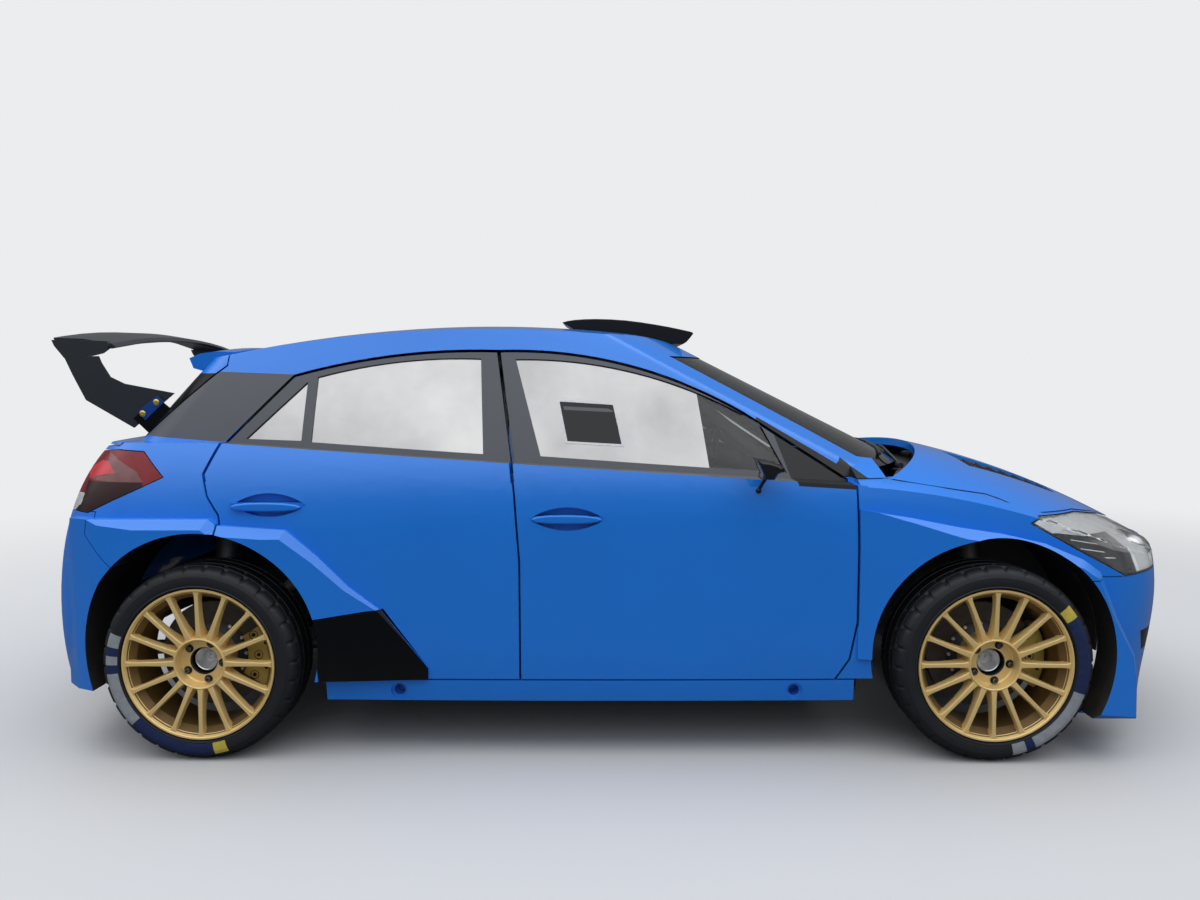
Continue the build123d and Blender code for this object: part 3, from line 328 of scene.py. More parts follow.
def paint_patch(piece, finish, outline, low_y=0.3, push=None, raised=0.0):
    """Gives what lies inside a side-view outline another finish, with clean edges, and may push or raise it."""
    low_x, high_x = min(x for x, z in outline), max(x for x, z in outline)
    low_z, high_z = min(z for x, z in outline), max(z for x, z in outline)

    def reaches(face):
        spots = [v.co for v in face.verts]
        return (max(abs(c.y) for c in spots) > low_y and min(c.x for c in spots) < high_x
                and max(c.x for c in spots) > low_x and min(c.z for c in spots) < high_z
                and max(c.z for c in spots) > low_z)

    def within(face):
        middle = face.calc_center_median()
        outer = not raised or face.normal.y * middle.y > 0.3 * abs(middle.y)
        return abs(middle.y) > low_y and inside(outline, middle.x, middle.z) and outer

    work_on(piece)
    for (x1, z1), (x2, z2) in zip(outline, outline[1:] + outline[:1]):
        if pick(reaches):
            bpy.ops.mesh.bisect(plane_co=(x1, 0, z1), plane_no=(z2 - z1, 0, x1 - x2))
    if pick(within):
        paint_picked(piece, finish)
        if push:
            bpy.ops.mesh.extrude_region_move(TRANSFORM_OT_translate={"value": push})
        if raised:
            bpy.ops.mesh.extrude_region_shrink_fatten(TRANSFORM_OT_shrink_fatten={"value": raised})
    bpy.ops.object.mode_set(mode="OBJECT")


def smooth(piece, angle=28):
    """Shades a piece smooth up to an angle, with normals led by its large faces."""
    bpy.ops.object.select_all(action="DESELECT")
    bpy.context.view_layer.objects.active = piece
    piece.select_set(True)
    bpy.ops.object.shade_smooth_by_angle(angle=radians(angle))
    weights = piece.modifiers.new("panel_normals", "WEIGHTED_NORMAL")
    weights.keep_sharp = True
    bpy.ops.object.modifier_apply(modifier=weights.name)


def round_edges(piece, width, segments=2, angle=30):
    """Rounds the edges of a piece that are sharper than an angle."""
    bpy.context.view_layer.objects.active = piece
    rounding = piece.modifiers.new("rounded_edges", "BEVEL")
    rounding.width = width
    rounding.segments = segments
    rounding.limit_method = "ANGLE"
    rounding.angle_limit = radians(angle)
    bpy.ops.object.modifier_apply(modifier=rounding.name)


def merged_copy(cad_node, name, finish):
    """A copy of a CAD piece with its loose triangles merged, left open for more work."""
    piece = bpy.data.objects.new(name, frame["nodes"][cad_node].data.copy())
    bpy.context.scene.collection.objects.link(piece)
    piece.data.materials.clear()
    piece.data.materials.append(finish)
    work_on(piece)
    bpy.ops.mesh.select_all(action="SELECT")
    bpy.ops.mesh.remove_doubles(threshold=0.00003)
    bpy.ops.mesh.customdata_custom_splitnormals_clear()
    return piece


def dress(cad_node, finish, patches=(), angle=28, bevel=0.0, arches=False):
    """A merged, smooth copy of a CAD piece in its real finish, which stands for it."""
    piece = merged_copy(cad_node, cad_node + "_skin", finish)
    if bevel:
        bpy.ops.mesh.dissolve_limited(angle_limit=radians(1.5))
    bpy.ops.object.mode_set(mode="OBJECT")
    if bevel:
        round_edges(piece, bevel, angle=40)
    for patch_finish, outline, *more in patches:
        paint_patch(piece, patch_finish, outline, raised=more[0] if more else 0.0)
    # Faces in the arches that look at a wheel, and the inner faces near it, go near black: underseal, and painted shade
    # on the panels' own faces.
    if arches:
        work_on(piece)
        if pick(faces_a_wheel):
            paint_picked(piece, underseal_and_arch_shade)
        bpy.ops.object.mode_set(mode="OBJECT")
    smooth(piece, angle)
    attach(piece, node_body[cad_node])
    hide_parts(cad_node)
    return piece


above_belt = [(0.9, 0.8866), (0.9, 1.6), (-1.45, 1.6), (-1.45, 1.0363)]
pillar_foot = [(0.470, 1.110), (0.627, 1.017), (0.735, 0.952), (0.752, 0.974), (0.830, 0.903), (0.818, 0.886),
               (0.70, 0.886), (0.40, 0.918)]
quarter_panel = [(-1.695, 1.0519), (-1.674, 1.0505), (-1.40, 1.268), (-1.118, 1.257), (-1.337, 1.0291)]
stone_guard = [(-0.995, 0.467), (-0.840, 0.490), (-0.770, 0.497), (-0.625, 0.300), (-0.628, 0.262),
               (-0.977, 0.262)]
sail_panel = [(0.500, 1.125), (0.80, 0.965), (0.80, 0.880), (0.578, 0.894)]
screen_frame = [(-1.80, 1.045), (-1.30, 1.045), (-1.30, 1.262), (-1.80, 1.262)]
# Near-black patch low on the front bumper's side, round the tow hook: painted shade standing for a recess that the
# bumper does not have.
tow_recess_painted_shade = [(1.742, 0.398), (1.842, 0.398), (1.842, 0.322), (1.762, 0.326)]
panel_patches = {
    "front_door": [(black_film, above_belt), (trim_black, sail_panel)],
    "rear_door": [(black_film, above_belt), (guard_black, stone_guard, 0.0015)],
}
for panel in ("front_fenders", "bonnet", "sill_skirts"):
    dress(panel, blue_paint, arches=True)
rear_bumper = dress("rear_bumper", blue_paint, arches=True)
work_on(rear_bumper)
for cut_place, cut_way in (((0, 0.50, 0), (0, 1, 0)), ((0, -0.50, 0), (0, 1, 0)), ((0, 0, 0.345), (0, 0, 1))):
    bpy.ops.mesh.select_all(action="SELECT")
    bpy.ops.mesh.bisect(plane_co=cut_place, plane_no=cut_way)
pick(lambda face: abs(face.calc_center_median().y) < 0.50 and face.calc_center_median().z < 0.345)
paint_picked(rear_bumper, trim_black)
bpy.ops.object.mode_set(mode="OBJECT")
smooth(rear_bumper)
dress("tailgate", blue_paint, [(guard_black, screen_frame)])
dress("front_bumper", blue_paint, [(guard_black, tow_recess_painted_shade)], arches=True)
dress("body_shell", blue_paint, [(black_film, quarter_panel),
                                               (trim_black, pillar_foot)], arches=True)
for side in ("right", "left"):
    for door in ("front_door", "rear_door"):
        dress(f"{door}_{side}", blue_paint, panel_patches[door], arches=True)

# Glass: thin curved panes. The side panes carry a silvered sun film, but for the front
# part of the front panes and the small dark hatch in them. The film's colour swings from
# dark to pale in broad clouds, a painted reflection of a cloudy sky. The screens are glass
# tinted near black, a painted dark reflection.
sun_film = bpy.data.materials.new("sun_film")
sun_film.use_nodes = True
film_nodes, film_links = sun_film.node_tree.nodes, sun_film.node_tree.links
film_shader = film_nodes["Principled BSDF"]
film_shader.inputs["Metallic"].default_value = 0.9
film_place = film_nodes.new("ShaderNodeTexCoord")
# Broad clouds swing the film's colour from dark to pale, a painted reflection of a cloudy sky; they also vary its
# roughness.
film_reflection_clouds = film_nodes.new("ShaderNodeTexNoise")
film_reflection_clouds.inputs["Scale"].default_value = 2.6
film_reflection_clouds.inputs["Detail"].default_value = 7
film_painted_reflection = film_nodes.new("ShaderNodeMix")
film_painted_reflection.data_type = "RGBA"
film_painted_reflection.inputs[6].default_value = (0.17, 0.175, 0.18, 1)
film_painted_reflection.inputs[7].default_value = (0.62, 0.61, 0.60, 1)
film_rough = film_nodes.new("ShaderNodeMapRange")
film_rough.inputs["To Min"].default_value = 0.05
film_rough.inputs["To Max"].default_value = 0.22
film_links.new(film_place.outputs["Object"], film_reflection_clouds.inputs["Vector"])
film_links.new(film_reflection_clouds.outputs["Fac"], film_painted_reflection.inputs["Factor"])
film_links.new(film_reflection_clouds.outputs["Fac"], film_rough.inputs["Value"])
film_links.new(film_painted_reflection.outputs[2], film_shader.inputs["Base Color"])
film_links.new(film_rough.outputs["Result"], film_shader.inputs["Roughness"])


def clear_material(name, colour, roughness):
    """Clear glass or polycarbonate with a very light haze of dust."""
    finish = new_finish(name, colour, roughness, film=0.04, film_top=1.2)
    shader = finish.node_tree.nodes["Principled BSDF"]
    shader.inputs["Transmission Weight"].default_value = 1.0
    shader.inputs["IOR"].default_value = 1.45
    return finish


clear_glass = clear_material("clear_glass", (0.30, 0.33, 0.33), 0.02)
# Near-black glass for the windscreen and rear screen: a painted dark reflection.
screen_glass_dark_reflection = clear_material("screen_glass_dark_reflection", (0.05, 0.06, 0.065), 0.02)
hatch_black = new_finish("hatch_black", (0.004, 0.0045, 0.006), 0.1, coat=0.2, gloss=0.2)
hatch_rail = new_finish("hatch_rail", (0.06, 0.065, 0.07), 0.2)
hatch_edge = new_finish("hatch_edge", (0.62, 0.63, 0.64), 0.3, cloud_size=90, cloud_depth=0.25)
clear_part = [(0.245, 1.35), (0.305, 0.90), (0.62, 0.90), (0.62, 1.35)]
hatch_outline = [(-0.212, 1.171), (-0.016, 1.159), (0.016, 1.014), (-0.181, 1.026)]
hatch_pane = [(-0.203, 1.164), (-0.022, 1.152), (0.007, 1.022), (-0.174, 1.033)]
rail_line = [(-0.190, 1.148), (-0.030, 1.139), (-0.028, 1.128), (-0.187, 1.136)]
for side in ("right", "left"):
    dress(f"front_glass_{side}", sun_film,
          [(clear_glass, clear_part), (hatch_edge, hatch_outline, 0.0012), (hatch_black, hatch_pane),
           (hatch_rail, rail_line)])
    dress(f"rear_glass_{side}", sun_film)
for pane in ("windscreen", "tailgate_glass"):
    dress(pane, screen_glass_dark_reflection)

# Head lamps: a clear polycarbonate lens over a black housing. A bright bezel runs under
# the top of the lens, and two projectors with glass lenses stand in the front.
lens_clear = clear_material("lens_clear", (0.93, 0.95, 0.96), 0.01)
lamp_black = new_finish("lamp_black", (0.03, 0.031, 0.033), 0.35, grain=0.2)
lamp_chrome = new_finish("lamp_chrome", (0.85, 0.86, 0.87), 0.12, metallic=1.0)
lamp_satin = new_finish("lamp_satin", (0.72, 0.73, 0.75), 0.25, metallic=0.75)
# Columns: finish, outline in side view, and how far that part is set back from the lens
lamp_fields = [
    (lamp_black, [(1.413, 0.738), (1.515, 0.727), (1.600, 0.722), (1.648, 0.720), (1.715, 0.585),
                  (1.690, 0.50), (1.30, 0.72)], (-0.010, 0.022, -0.006)),
    (lamp_chrome, [(1.652, 0.722), (1.664, 0.722), (1.731, 0.583), (1.717, 0.583)], None),
    (lamp_satin, [(1.470, 0.714), (1.560, 0.7005), (1.560, 0.697), (1.470, 0.7105)], None),
    (lamp_satin, [(1.515, 0.683), (1.590, 0.672), (1.590, 0.6685), (1.515, 0.6795)], None),
    (lamp_satin, [(1.585, 0.655), (1.630, 0.650), (1.630, 0.6465), (1.585, 0.6515)], None),
]
# Columns: place of the projector, radius of its bowl and how far it looks outwards in degrees
projectors = [((1.768, -0.625, 0.648), 0.052, -48), ((1.832, -0.485, 0.652), 0.036, -15)]
dress("head_lamps", lens_clear, angle=75)
dress("lamp_housings", lamp_black)


def on_lens_skin(face):
    """Whether a face is on the outside of the right-hand lens."""
    middle = face.calc_center_median()
    return middle.y < 0 and face.normal.y < -0.04 and face.normal.dot(middle - Vector((1.5, -0.45, 0.60))) > 0.03


bezel = merged_copy("head_lamps", "lamp_bezel_right", lamp_satin)
pick(lambda face: not on_lens_skin(face))
bpy.ops.mesh.delete(type="FACE")
bpy.ops.mesh.select_all(action="SELECT")
bpy.ops.transform.shrink_fatten(value=-0.010)
bpy.ops.object.mode_set(mode="OBJECT")
for field_finish, outline, push in lamp_fields:
    paint_patch(bezel, field_finish, outline, push=push)
thickness = bezel.modifiers.new("wall", "SOLIDIFY")
thickness.thickness = 0.0015
bpy.context.view_layer.objects.active = bezel
bpy.ops.object.modifier_apply(modifier=thickness.name)
for spot, radius, outwards in projectors:
    bpy.ops.object.select_all(action="DESELECT")
    bpy.ops.mesh.primitive_cylinder_add(vertices=48, radius=radius * 0.98, depth=0.20, location=spot,
                                        rotation=(0, radians(90), radians(outwards)))
    cutter = bpy.context.object
    mouth = bezel.modifiers.new("mouth", "BOOLEAN")
    mouth.operation = "DIFFERENCE"
    mouth.object = cutter
    bpy.context.view_layer.objects.active = bezel
    bpy.ops.object.modifier_apply(modifier=mouth.name)
    bpy.data.objects.remove(cutter)
smooth(bezel, 40)
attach(bezel, "chassis")


def take_name(piece, name, finish):
    """Names a new piece and gives it its finish."""
    piece.name = name
    piece.data.name = name
    piece.data.materials.append(finish)
    return piece


def settle(piece, body, angle=30):
    """Puts a finished piece at the origin, smooths it and hangs it on its body."""
    bpy.ops.object.mode_set(mode="OBJECT")
    bpy.ops.object.transform_apply(location=True, rotation=True, scale=True)
    smooth(piece, angle)
    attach(piece, body)
    return piece


def trace(points):
    """Starts a piece as one run of edges through points."""
    bpy.ops.object.select_all(action="DESELECT")
    bpy.ops.mesh.primitive_plane_add(size=0.01)
    bpy.ops.object.mode_set(mode="EDIT")
    bpy.ops.mesh.select_mode(type="VERT")
    trace_more(points, first=True)
    return bpy.context.object


def trace_more(points, first=False):
    """Adds another run of edges to the open piece."""
    if first:
        bpy.ops.mesh.select_all(action="SELECT")
    else:
        bpy.ops.mesh.select_all(action="DESELECT")
        bpy.ops.mesh.primitive_plane_add(size=0.01)
    bpy.ops.mesh.merge(type="CENTER")
    bpy.ops.transform.translate(value=points[0])
    for start, end in zip(points, points[1:]):
        step = tuple(b - a for a, b in zip(start, end))
        bpy.ops.mesh.extrude_vertices_move(TRANSFORM_OT_translate={"value": step})


def turned(name, finish, profile, axle, steps=96, axis=(0, 1, 0)):
    """A ring turned round an axle from a closed run of (across, radius)."""
    x, y, z = axle
    place = [(x, y + across, z + radius) for across, radius in profile]
    if axis[0]:
        place = [(x + across, y, z + radius) for across, radius in profile]
    piece = take_name(trace(place + place[:1]), name, finish)
    bpy.ops.mesh.select_all(action="SELECT")
    bpy.ops.mesh.spin(steps=steps, angle=2 * pi, center=axle, axis=axis)
    bpy.ops.mesh.select_all(action="SELECT")
    bpy.ops.mesh.remove_doubles(threshold=0.00002)
    bpy.ops.mesh.normals_make_consistent(inside=False)
    return piece


def copy_of(piece, name, shift_x=0.0, to_left=False):
    """A copy with its own mesh, moved along the car or mirrored to the left side."""
    twin = bpy.data.objects.new(name, piece.data.copy())
    bpy.context.scene.collection.objects.link(twin)
    twin.data.name = name
    move = Matrix.Translation((shift_x, 0, 0))
    if to_left:
        move = move @ Matrix.Diagonal((1, -1, 1, 1))
    twin.data.transform(move)
    if to_left:
        twin.data.flip_normals()
    return twin


def join(name, *pieces):
    """Joins finished shapes into one piece."""
    bpy.ops.object.mode_set(mode="OBJECT")
    bpy.ops.object.select_all(action="DESELECT")
    for piece in pieces:
        piece.select_set(True)
    bpy.context.view_layer.objects.active = pieces[0]
    bpy.ops.object.join()
    whole = bpy.context.object
    whole.name = name
    whole.data.name = name
    return whole


def swung(profile, spot, name, finish, outwards, steps=48):
    """A round fitting from a run of (ahead, radius), turned outwards by some degrees."""
    fitting = turned(name, finish, profile, spot, steps, axis=(1, 0, 0))
    bpy.ops.mesh.select_all(action="SELECT")
    bpy.ops.transform.rotate(value=radians(outwards), orient_axis="Z", center_override=spot)
    bpy.ops.object.mode_set(mode="OBJECT")
    return fitting


lit_glass = clear_material("projector_glass", (0.80, 0.80, 0.88), 0.01)
lamp_parts = []
for number, (spot, radius, outwards) in enumerate(projectors):
    bowl = [(-0.060, radius * 0.62), (-0.040, radius * 0.76), (-0.018, radius * 0.88), (0.002, radius * 0.97),
            (0.005, radius), (0.002, radius * 1.02), (-0.020, radius * 0.93), (-0.042, radius * 0.81),
            (-0.064, radius * 0.64)]
    plug = [(-0.062, 0.0), (-0.062, radius * 0.63), (-0.056, radius * 0.62), (-0.050, 0.0)]
    ball = [(-0.052, 0.0), (-0.052, radius * 0.58), (-0.030, radius * 0.56), (-0.012, radius * 0.46),
            (-0.002, radius * 0.30), (0.003, radius * 0.15), (0.004, 0.0)]
    lamp_parts.append(swung(bowl, spot, f"projector_bowl_{number}", lamp_chrome, outwards))
    lamp_parts.append(swung(plug, spot, f"projector_back_{number}", lamp_black, outwards, 24))
    lamp_parts.append(swung(ball, spot, f"projector_ball_{number}", lit_glass, outwards, 32))
lamp_inside = join("lamp_projectors_right", *lamp_parts)
smooth(lamp_inside)
for pattern, name in ((bezel, "lamp_bezel_left"), (lamp_inside, "lamp_projectors_left")):
    twin = copy_of(pattern, name, to_left=True)
    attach(twin, "chassis")
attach(lamp_inside, "chassis")

# Tail lamps: red mouldings in the body's corners, dark along the lower edge and clear
# over the reversing bulb. A pale greyish red and a bright pink-red across the top of each
# lens are painted sheen and a painted highlight.
tail_red = new_finish("tail_red", (0.20, 0.003, 0.008), 0.1, coat=0.35, gloss=0.15, cloud_size=22,
                      cloud_depth=0.45)
tail_dark = new_finish("tail_dark", (0.02, 0.001, 0.002), 0.1, coat=0.3, gloss=0.15)
# A bright pink-red for the top of the lens: a painted highlight.
tail_painted_highlight = new_finish("tail_painted_highlight", (0.62, 0.02, 0.035), 0.1, coat=0.4, gloss=0.3, cloud_size=30,
                       cloud_depth=0.4)
# A pale greyish red over the upper lens: a painted sheen.
tail_painted_sheen = new_finish("tail_painted_sheen", (0.17, 0.055, 0.055), 0.1, coat=0.4, gloss=0.3, cloud_size=30,
                        cloud_depth=0.5)
tail_clear = new_finish("tail_clear", (0.70, 0.69, 0.68), 0.2, metallic=0.3, coat=0.6, cloud_size=90,
                        cloud_depth=0.45)
lower_dark = [(-1.778, 0.905), (-1.570, 0.902), (-1.570, 0.780), (-1.845, 0.780), (-1.803, 0.820),
              (-1.781, 0.858)]
reverse_clear = [(-1.900, 0.868), (-1.780, 0.865), (-1.789, 0.830), (-1.820, 0.803), (-1.815, 0.770),
                 (-1.900, 0.770)]
# The next two outlines hold the painted sheen and the painted highlight across the top of the lens.
upper_painted_sheen = [(-1.715, 1.000), (-1.600, 0.940), (-1.570, 0.903), (-1.700, 0.9055), (-1.782, 0.913),
               (-1.700, 0.925)]
upper_painted_highlight = [(-1.797, 0.938), (-1.740, 0.970), (-1.707, 0.970), (-1.672, 0.934), (-1.712, 0.926),
              (-1.778, 0.914)]
dress("tail_lamps", tail_red,
      [(tail_dark, lower_dark), (tail_clear, reverse_clear), (tail_painted_sheen, upper_painted_sheen),
       (tail_painted_highlight, upper_painted_highlight)])

# Black parts: bare composite for the rear wing, held by its two end plates, and satin
# mouldings for the cowl, grille, bonnet vents, dashboard and steering wheel.
black_gloss = new_finish("black_gloss", (0.012, 0.0125, 0.014), 0.18, gloss=0.2, coat=0.05)
black_satin = new_finish("black_satin", (0.016, 0.016, 0.017), 0.5, grain=0.3)
wing_black = new_finish("wing_black", (0.026, 0.030, 0.036), 0.3, gloss=0.3, coat=0.1)
dress("rear_wing", wing_black, bevel=0.002)
for part in ("cowl", "dashboard", "steering_wheel", "grille", "bonnet_vents"):
    dress(part, black_satin)

# Roof scoop: a gloss black composite moulding bonded to the roof, which feeds the cabin
# through a wide mouth above the windscreen.


def plate(name, finish, outline, low_y, high_y, bevel=0.001):
    """A plate across the car from a side-view outline, with its edges rounded."""
    points = [(x, low_y, z) for x, z in outline]
    piece = take_name(trace(points), name, finish)
    bpy.ops.mesh.select_all(action="SELECT")
    bpy.ops.mesh.edge_face_add()
    bpy.ops.mesh.extrude_region_move(TRANSFORM_OT_translate={"value": (0, high_y - low_y, 0)})
    bpy.ops.mesh.select_all(action="SELECT")
    bpy.ops.mesh.normals_make_consistent(inside=False)
    bpy.ops.mesh.select_all(action="DESELECT")
    bpy.ops.object.mode_set(mode="OBJECT")
    round_edges(piece, bevel)
    return piece


scoop_line = [(-0.222, 1.4630), (-0.200, 1.4690), (-0.170, 1.4735), (-0.130, 1.4760), (-0.085, 1.4768),
              (-0.030, 1.4752),
              (0.030, 1.4710), (0.090, 1.4635), (0.150, 1.4540), (0.200, 1.4450), (0.250, 1.4345),
              (0.285, 1.4265),
              (0.298, 1.4225), (0.297, 1.4170), (0.286, 1.4020), (0.272, 1.3860), (0.258, 1.3770),
              (0.200, 1.3800),
              (0.150, 1.3930), (0.100, 1.4040), (0.000, 1.4185), (-0.100, 1.4280), (-0.170, 1.4350)]
scoop = plate("roof_scoop", black_gloss, scoop_line, -0.150, 0.150, 0.004)
work_on(scoop)
pick(lambda face: face.normal.x > 0.7 and face.calc_center_median().x > 0.255 and abs(face.normal.y) < 0.1)
bpy.ops.mesh.inset(thickness=0.006, depth=0)
bpy.ops.mesh.extrude_region_move(TRANSFORM_OT_translate={"value": (-0.11, 0, 0.018)})
paint_picked(scoop, underseal_and_arch_shade)
bpy.ops.object.mode_set(mode="OBJECT")
smooth(scoop, 40)
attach(scoop, "chassis")
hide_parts("roof_vent")

# Door mirrors: thin black composite housings on slim stalks with ball feet, and flat
# glasses that look back along the doors.


def rod(name, finish, points, radius):
    """A round bar or tube along points."""
    curve = bpy.data.curves.new(name, "CURVE")
    curve.dimensions = "3D"
    curve.bevel_depth = radius
    curve.bevel_resolution = 4
    curve.resolution_u = 6
    curve.use_fill_caps = True
    line = curve.splines.new("NURBS")
    line.points.add(len(points) - 1)
    for point, place in zip(line.points, points):
        point.co = (*place, 1)
    line.order_u = 3
    line.use_endpoint_u = True
    piece = bpy.data.objects.new(name, curve)
    bpy.context.scene.collection.objects.link(piece)
    bpy.ops.object.select_all(action="DESELECT")
    bpy.context.view_layer.objects.active = piece
    piece.select_set(True)
    bpy.ops.object.convert(target="MESH")
    piece = bpy.context.object
    return take_name(piece, name, finish)


def loft(name, finish, rings):
    """A closed body bridged from one ring of points to the next, left open for more work."""
    piece = take_name(trace(rings[0] + rings[0][:1]), name, finish)
    for ring in rings[1:]:
        trace_more(ring + ring[:1])
    bpy.ops.mesh.select_all(action="SELECT")
    bpy.ops.mesh.remove_doubles(threshold=0.00002)
    bpy.ops.mesh.select_mode(type="EDGE")
    bpy.ops.mesh.select_all(action="SELECT")
    bpy.ops.mesh.bridge_edge_loops()
    bpy.ops.mesh.select_all(action="SELECT")
    bpy.ops.mesh.fill_holes(sides=len(rings[0]))
    bpy.ops.mesh.select_all(action="SELECT")
    bpy.ops.mesh.normals_make_consistent(inside=False)
    return piece


mirror_outline = [(0.421, 0.990), (0.455, 0.9865), (0.488, 0.977), (0.506, 0.967), (0.504, 0.954),
                  (0.486, 0.946),
                  (0.475, 0.927), (0.438, 0.928), (0.442, 0.945)]
mirror_middle = (0.462, 0.958)
# Columns: place across the car and how large the outline is there
mirror_stations = [(-0.8700, 0.70), (-0.8760, 0.93), (-0.8900, 1.0), (-0.9620, 1.0), (-0.9790, 0.92),
                   (-0.9870, 0.66)]
mirror_glass = new_finish("mirror_glass", (0.80, 0.82, 0.85), 0.03, metallic=1.0)
mirror_rings = []
for across, share in mirror_stations:
    mirror_rings.append([(mirror_middle[0] + (x - mirror_middle[0]) * share, across,
                          mirror_middle[1] + (z - mirror_middle[1]) * share) for x, z in mirror_outline])
housing = loft("mirror_housing_right", black_gloss, mirror_rings)
bpy.ops.mesh.select_mode(type="FACE")
pick(lambda face: face.normal.x < -0.5 and -0.965 < face.calc_center_median().y < -0.885)
bpy.ops.mesh.inset(thickness=0.004, depth=-0.0015)
paint_picked(housing, mirror_glass)
bpy.ops.object.mode_set(mode="OBJECT")
stalk_line = [(0.447, -0.846, 0.882), (0.455, -0.862, 0.902), (0.468, -0.884, 0.932), (0.474, -0.900, 0.950)]
foot_profile = [(-0.012, 0.0), (-0.011, 0.005), (-0.006, 0.0085), (0.0, 0.0095), (0.010, 0.0085),
                (0.010, 0.0)]
stalk = rod("mirror_stalk_right", black_gloss, stalk_line, 0.0055)
foot = turned("mirror_foot_right", black_gloss, foot_profile, (0.446, -0.852, 0.880), 24)
mirror = join("mirror_right_moulded", housing, stalk, foot)
smooth(mirror, 40)
for side, piece in (("right", mirror), ("left", copy_of(mirror, "mirror_left_moulded", to_left=True))):
    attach(piece, f"front_door_{side}")
    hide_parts(f"mirror_{side}")

# Door handles: painted bars over the pockets in the door skins, each pulled out from its
# rear end.
bar_line = [(-0.118, 0.001), (-0.100, 0.010), (-0.060, 0.0145), (0.0, 0.0155), (0.060, 0.0135),
            (0.100, 0.008),
            (0.116, 0.0), (0.100, -0.009), (0.060, -0.0135), (0.0, -0.0145), (-0.060, -0.0135),
            (-0.100, -0.010)]
handles = [("front_door", -0.171, 0.788, -0.853, -0.872), ("rear_door", -1.148, 0.8265, -0.838, -0.8585)]
for door, x, z, inner_y, outer_y in handles:
    line = [(x + along, z + up) for along, up in bar_line]
    handle = plate(f"handle_{door}_right", blue_paint, line, inner_y, outer_y, 0.006)
    smooth(handle, 50)
    for side, piece in (("right", handle), ("left", copy_of(handle, f"handle_{door}_left", to_left=True))):
        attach(piece, f"{door}_{side}")

# Tow hooks: forged steel eyes, painted black, bolted to the bumper rails.
hook_line = [(1.70, 0.660, 0.372), (1.765, 0.668, 0.372), (1.792, 0.670, 0.368), (1.800, 0.671, 0.352),
             (1.785, 0.670, 0.336), (1.74, 0.666, 0.336)]
for side_y, side in ((-1, "right"), (1, "left")):
    hook = rod(f"tow_hook_{side}", black_satin, [(x, side_y * y, z) for x, y, z in hook_line], 0.0065)
    settle(hook, "chassis")

# Wing fittings: a blue anodised plate on each bracket, and two gold screws through it
# into the end plate.
gold_anodised = new_finish("gold_anodised", (0.75, 0.55, 0.12), 0.25, metallic=0.9)
blue_anodised = new_finish("blue_anodised", (0.006, 0.07, 0.34), 0.35, metallic=0.5)
bracket_outline = [(-1.7075, 1.127), (-1.6375, 1.183), (-1.613, 1.161), (-1.683, 1.0955)]
bolt_places = [(-1.690, 1.120), (-1.640, 1.160)]
for side_y, side in ((-1, "right"), (1, "left")):
    for number, (x, z) in enumerate(bolt_places):
        head = [(0.0, 0.0), (0.0, 0.011), (0.003, 0.011), (0.0045, 0.0075), (0.0045, 0.004),
                (0.002, 0.003), (0.002, 0.0)]
        points = [(side_y * a, r) for a, r in head]
        bolt = turned(f"wing_bolt_{number}_{side}", gold_anodised, points, (x, side_y * 0.557, z), 24)
        settle(bolt, "tailgate")
    bracket_plate = plate(f"wing_plate_{side}", blue_anodised, bracket_outline, side_y * 0.5545, side_y * 0.5573)
    settle(bracket_plate, "tailgate")

# Wipers: two sprung arms with rubber blades, parked at the foot of the windscreen on
# spindles that stand in the cowl.


def on_screen(y, back, lift):
    """A point over the windscreen, a way back from its lower edge and lifted off the glass."""
    x = 1.104 - 0.5 * y * y - back
    return (x, y, 1.4873 - 0.505 * x - 0.28 * y * y + lift)


for number, start_y in enumerate((-0.44, 0.06)):
    root = on_screen(start_y, -0.020, 0)
    arm = rod(f"wiper_arm_{number}", black_satin,
              [(root[0], start_y, 0.925), (root[0] - 0.004, start_y + 0.01, root[2] + 0.022),
               on_screen(start_y + 0.06, 0.035, 0.030), on_screen(start_y + 0.17, 0.055, 0.026),
               on_screen(start_y + 0.27, 0.055, 0.019)], 0.005)
    blade = rod(f"wiper_blade_{number}", black_satin,
                [on_screen(start_y + 0.02, 0.055, 0.011), on_screen(start_y + 0.27, 0.055, 0.013),
                 on_screen(start_y + 0.50, 0.055, 0.011)], 0.0065)
    spindle = turned(f"wiper_spindle_{number}", black_satin,
                     [(-0.014, 0.0), (-0.014, 0.010), (-0.010, 0.013), (0.010, 0.013), (0.014, 0.010),
                      (0.014, 0.0)],
                     (root[0], start_y, root[2] + 0.010), 24)
    bpy.ops.object.mode_set(mode="OBJECT")
    wiper = join(f"wiper_{number}", arm, blade, spindle)
    smooth(wiper, 40)
    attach(wiper, "chassis")

# Wheels: one-piece forged alloy, painted gold. Sixteen slim spokes run from a deep-set
# centre to the rim's edge, and five nuts hold each wheel against its brake disc's bell.
gold_paint = new_finish("gold_paint", (0.86, 0.62, 0.25), 0.36, metallic=0.3, coat=0.2, film=0.12,
                        film_top=0.4)
nut_steel = new_finish("nut_steel", (0.16, 0.16, 0.165), 0.3, metallic=0.9)
nut_black = new_finish("nut_black", (0.015, 0.015, 0.016), 0.35, metallic=0.4)
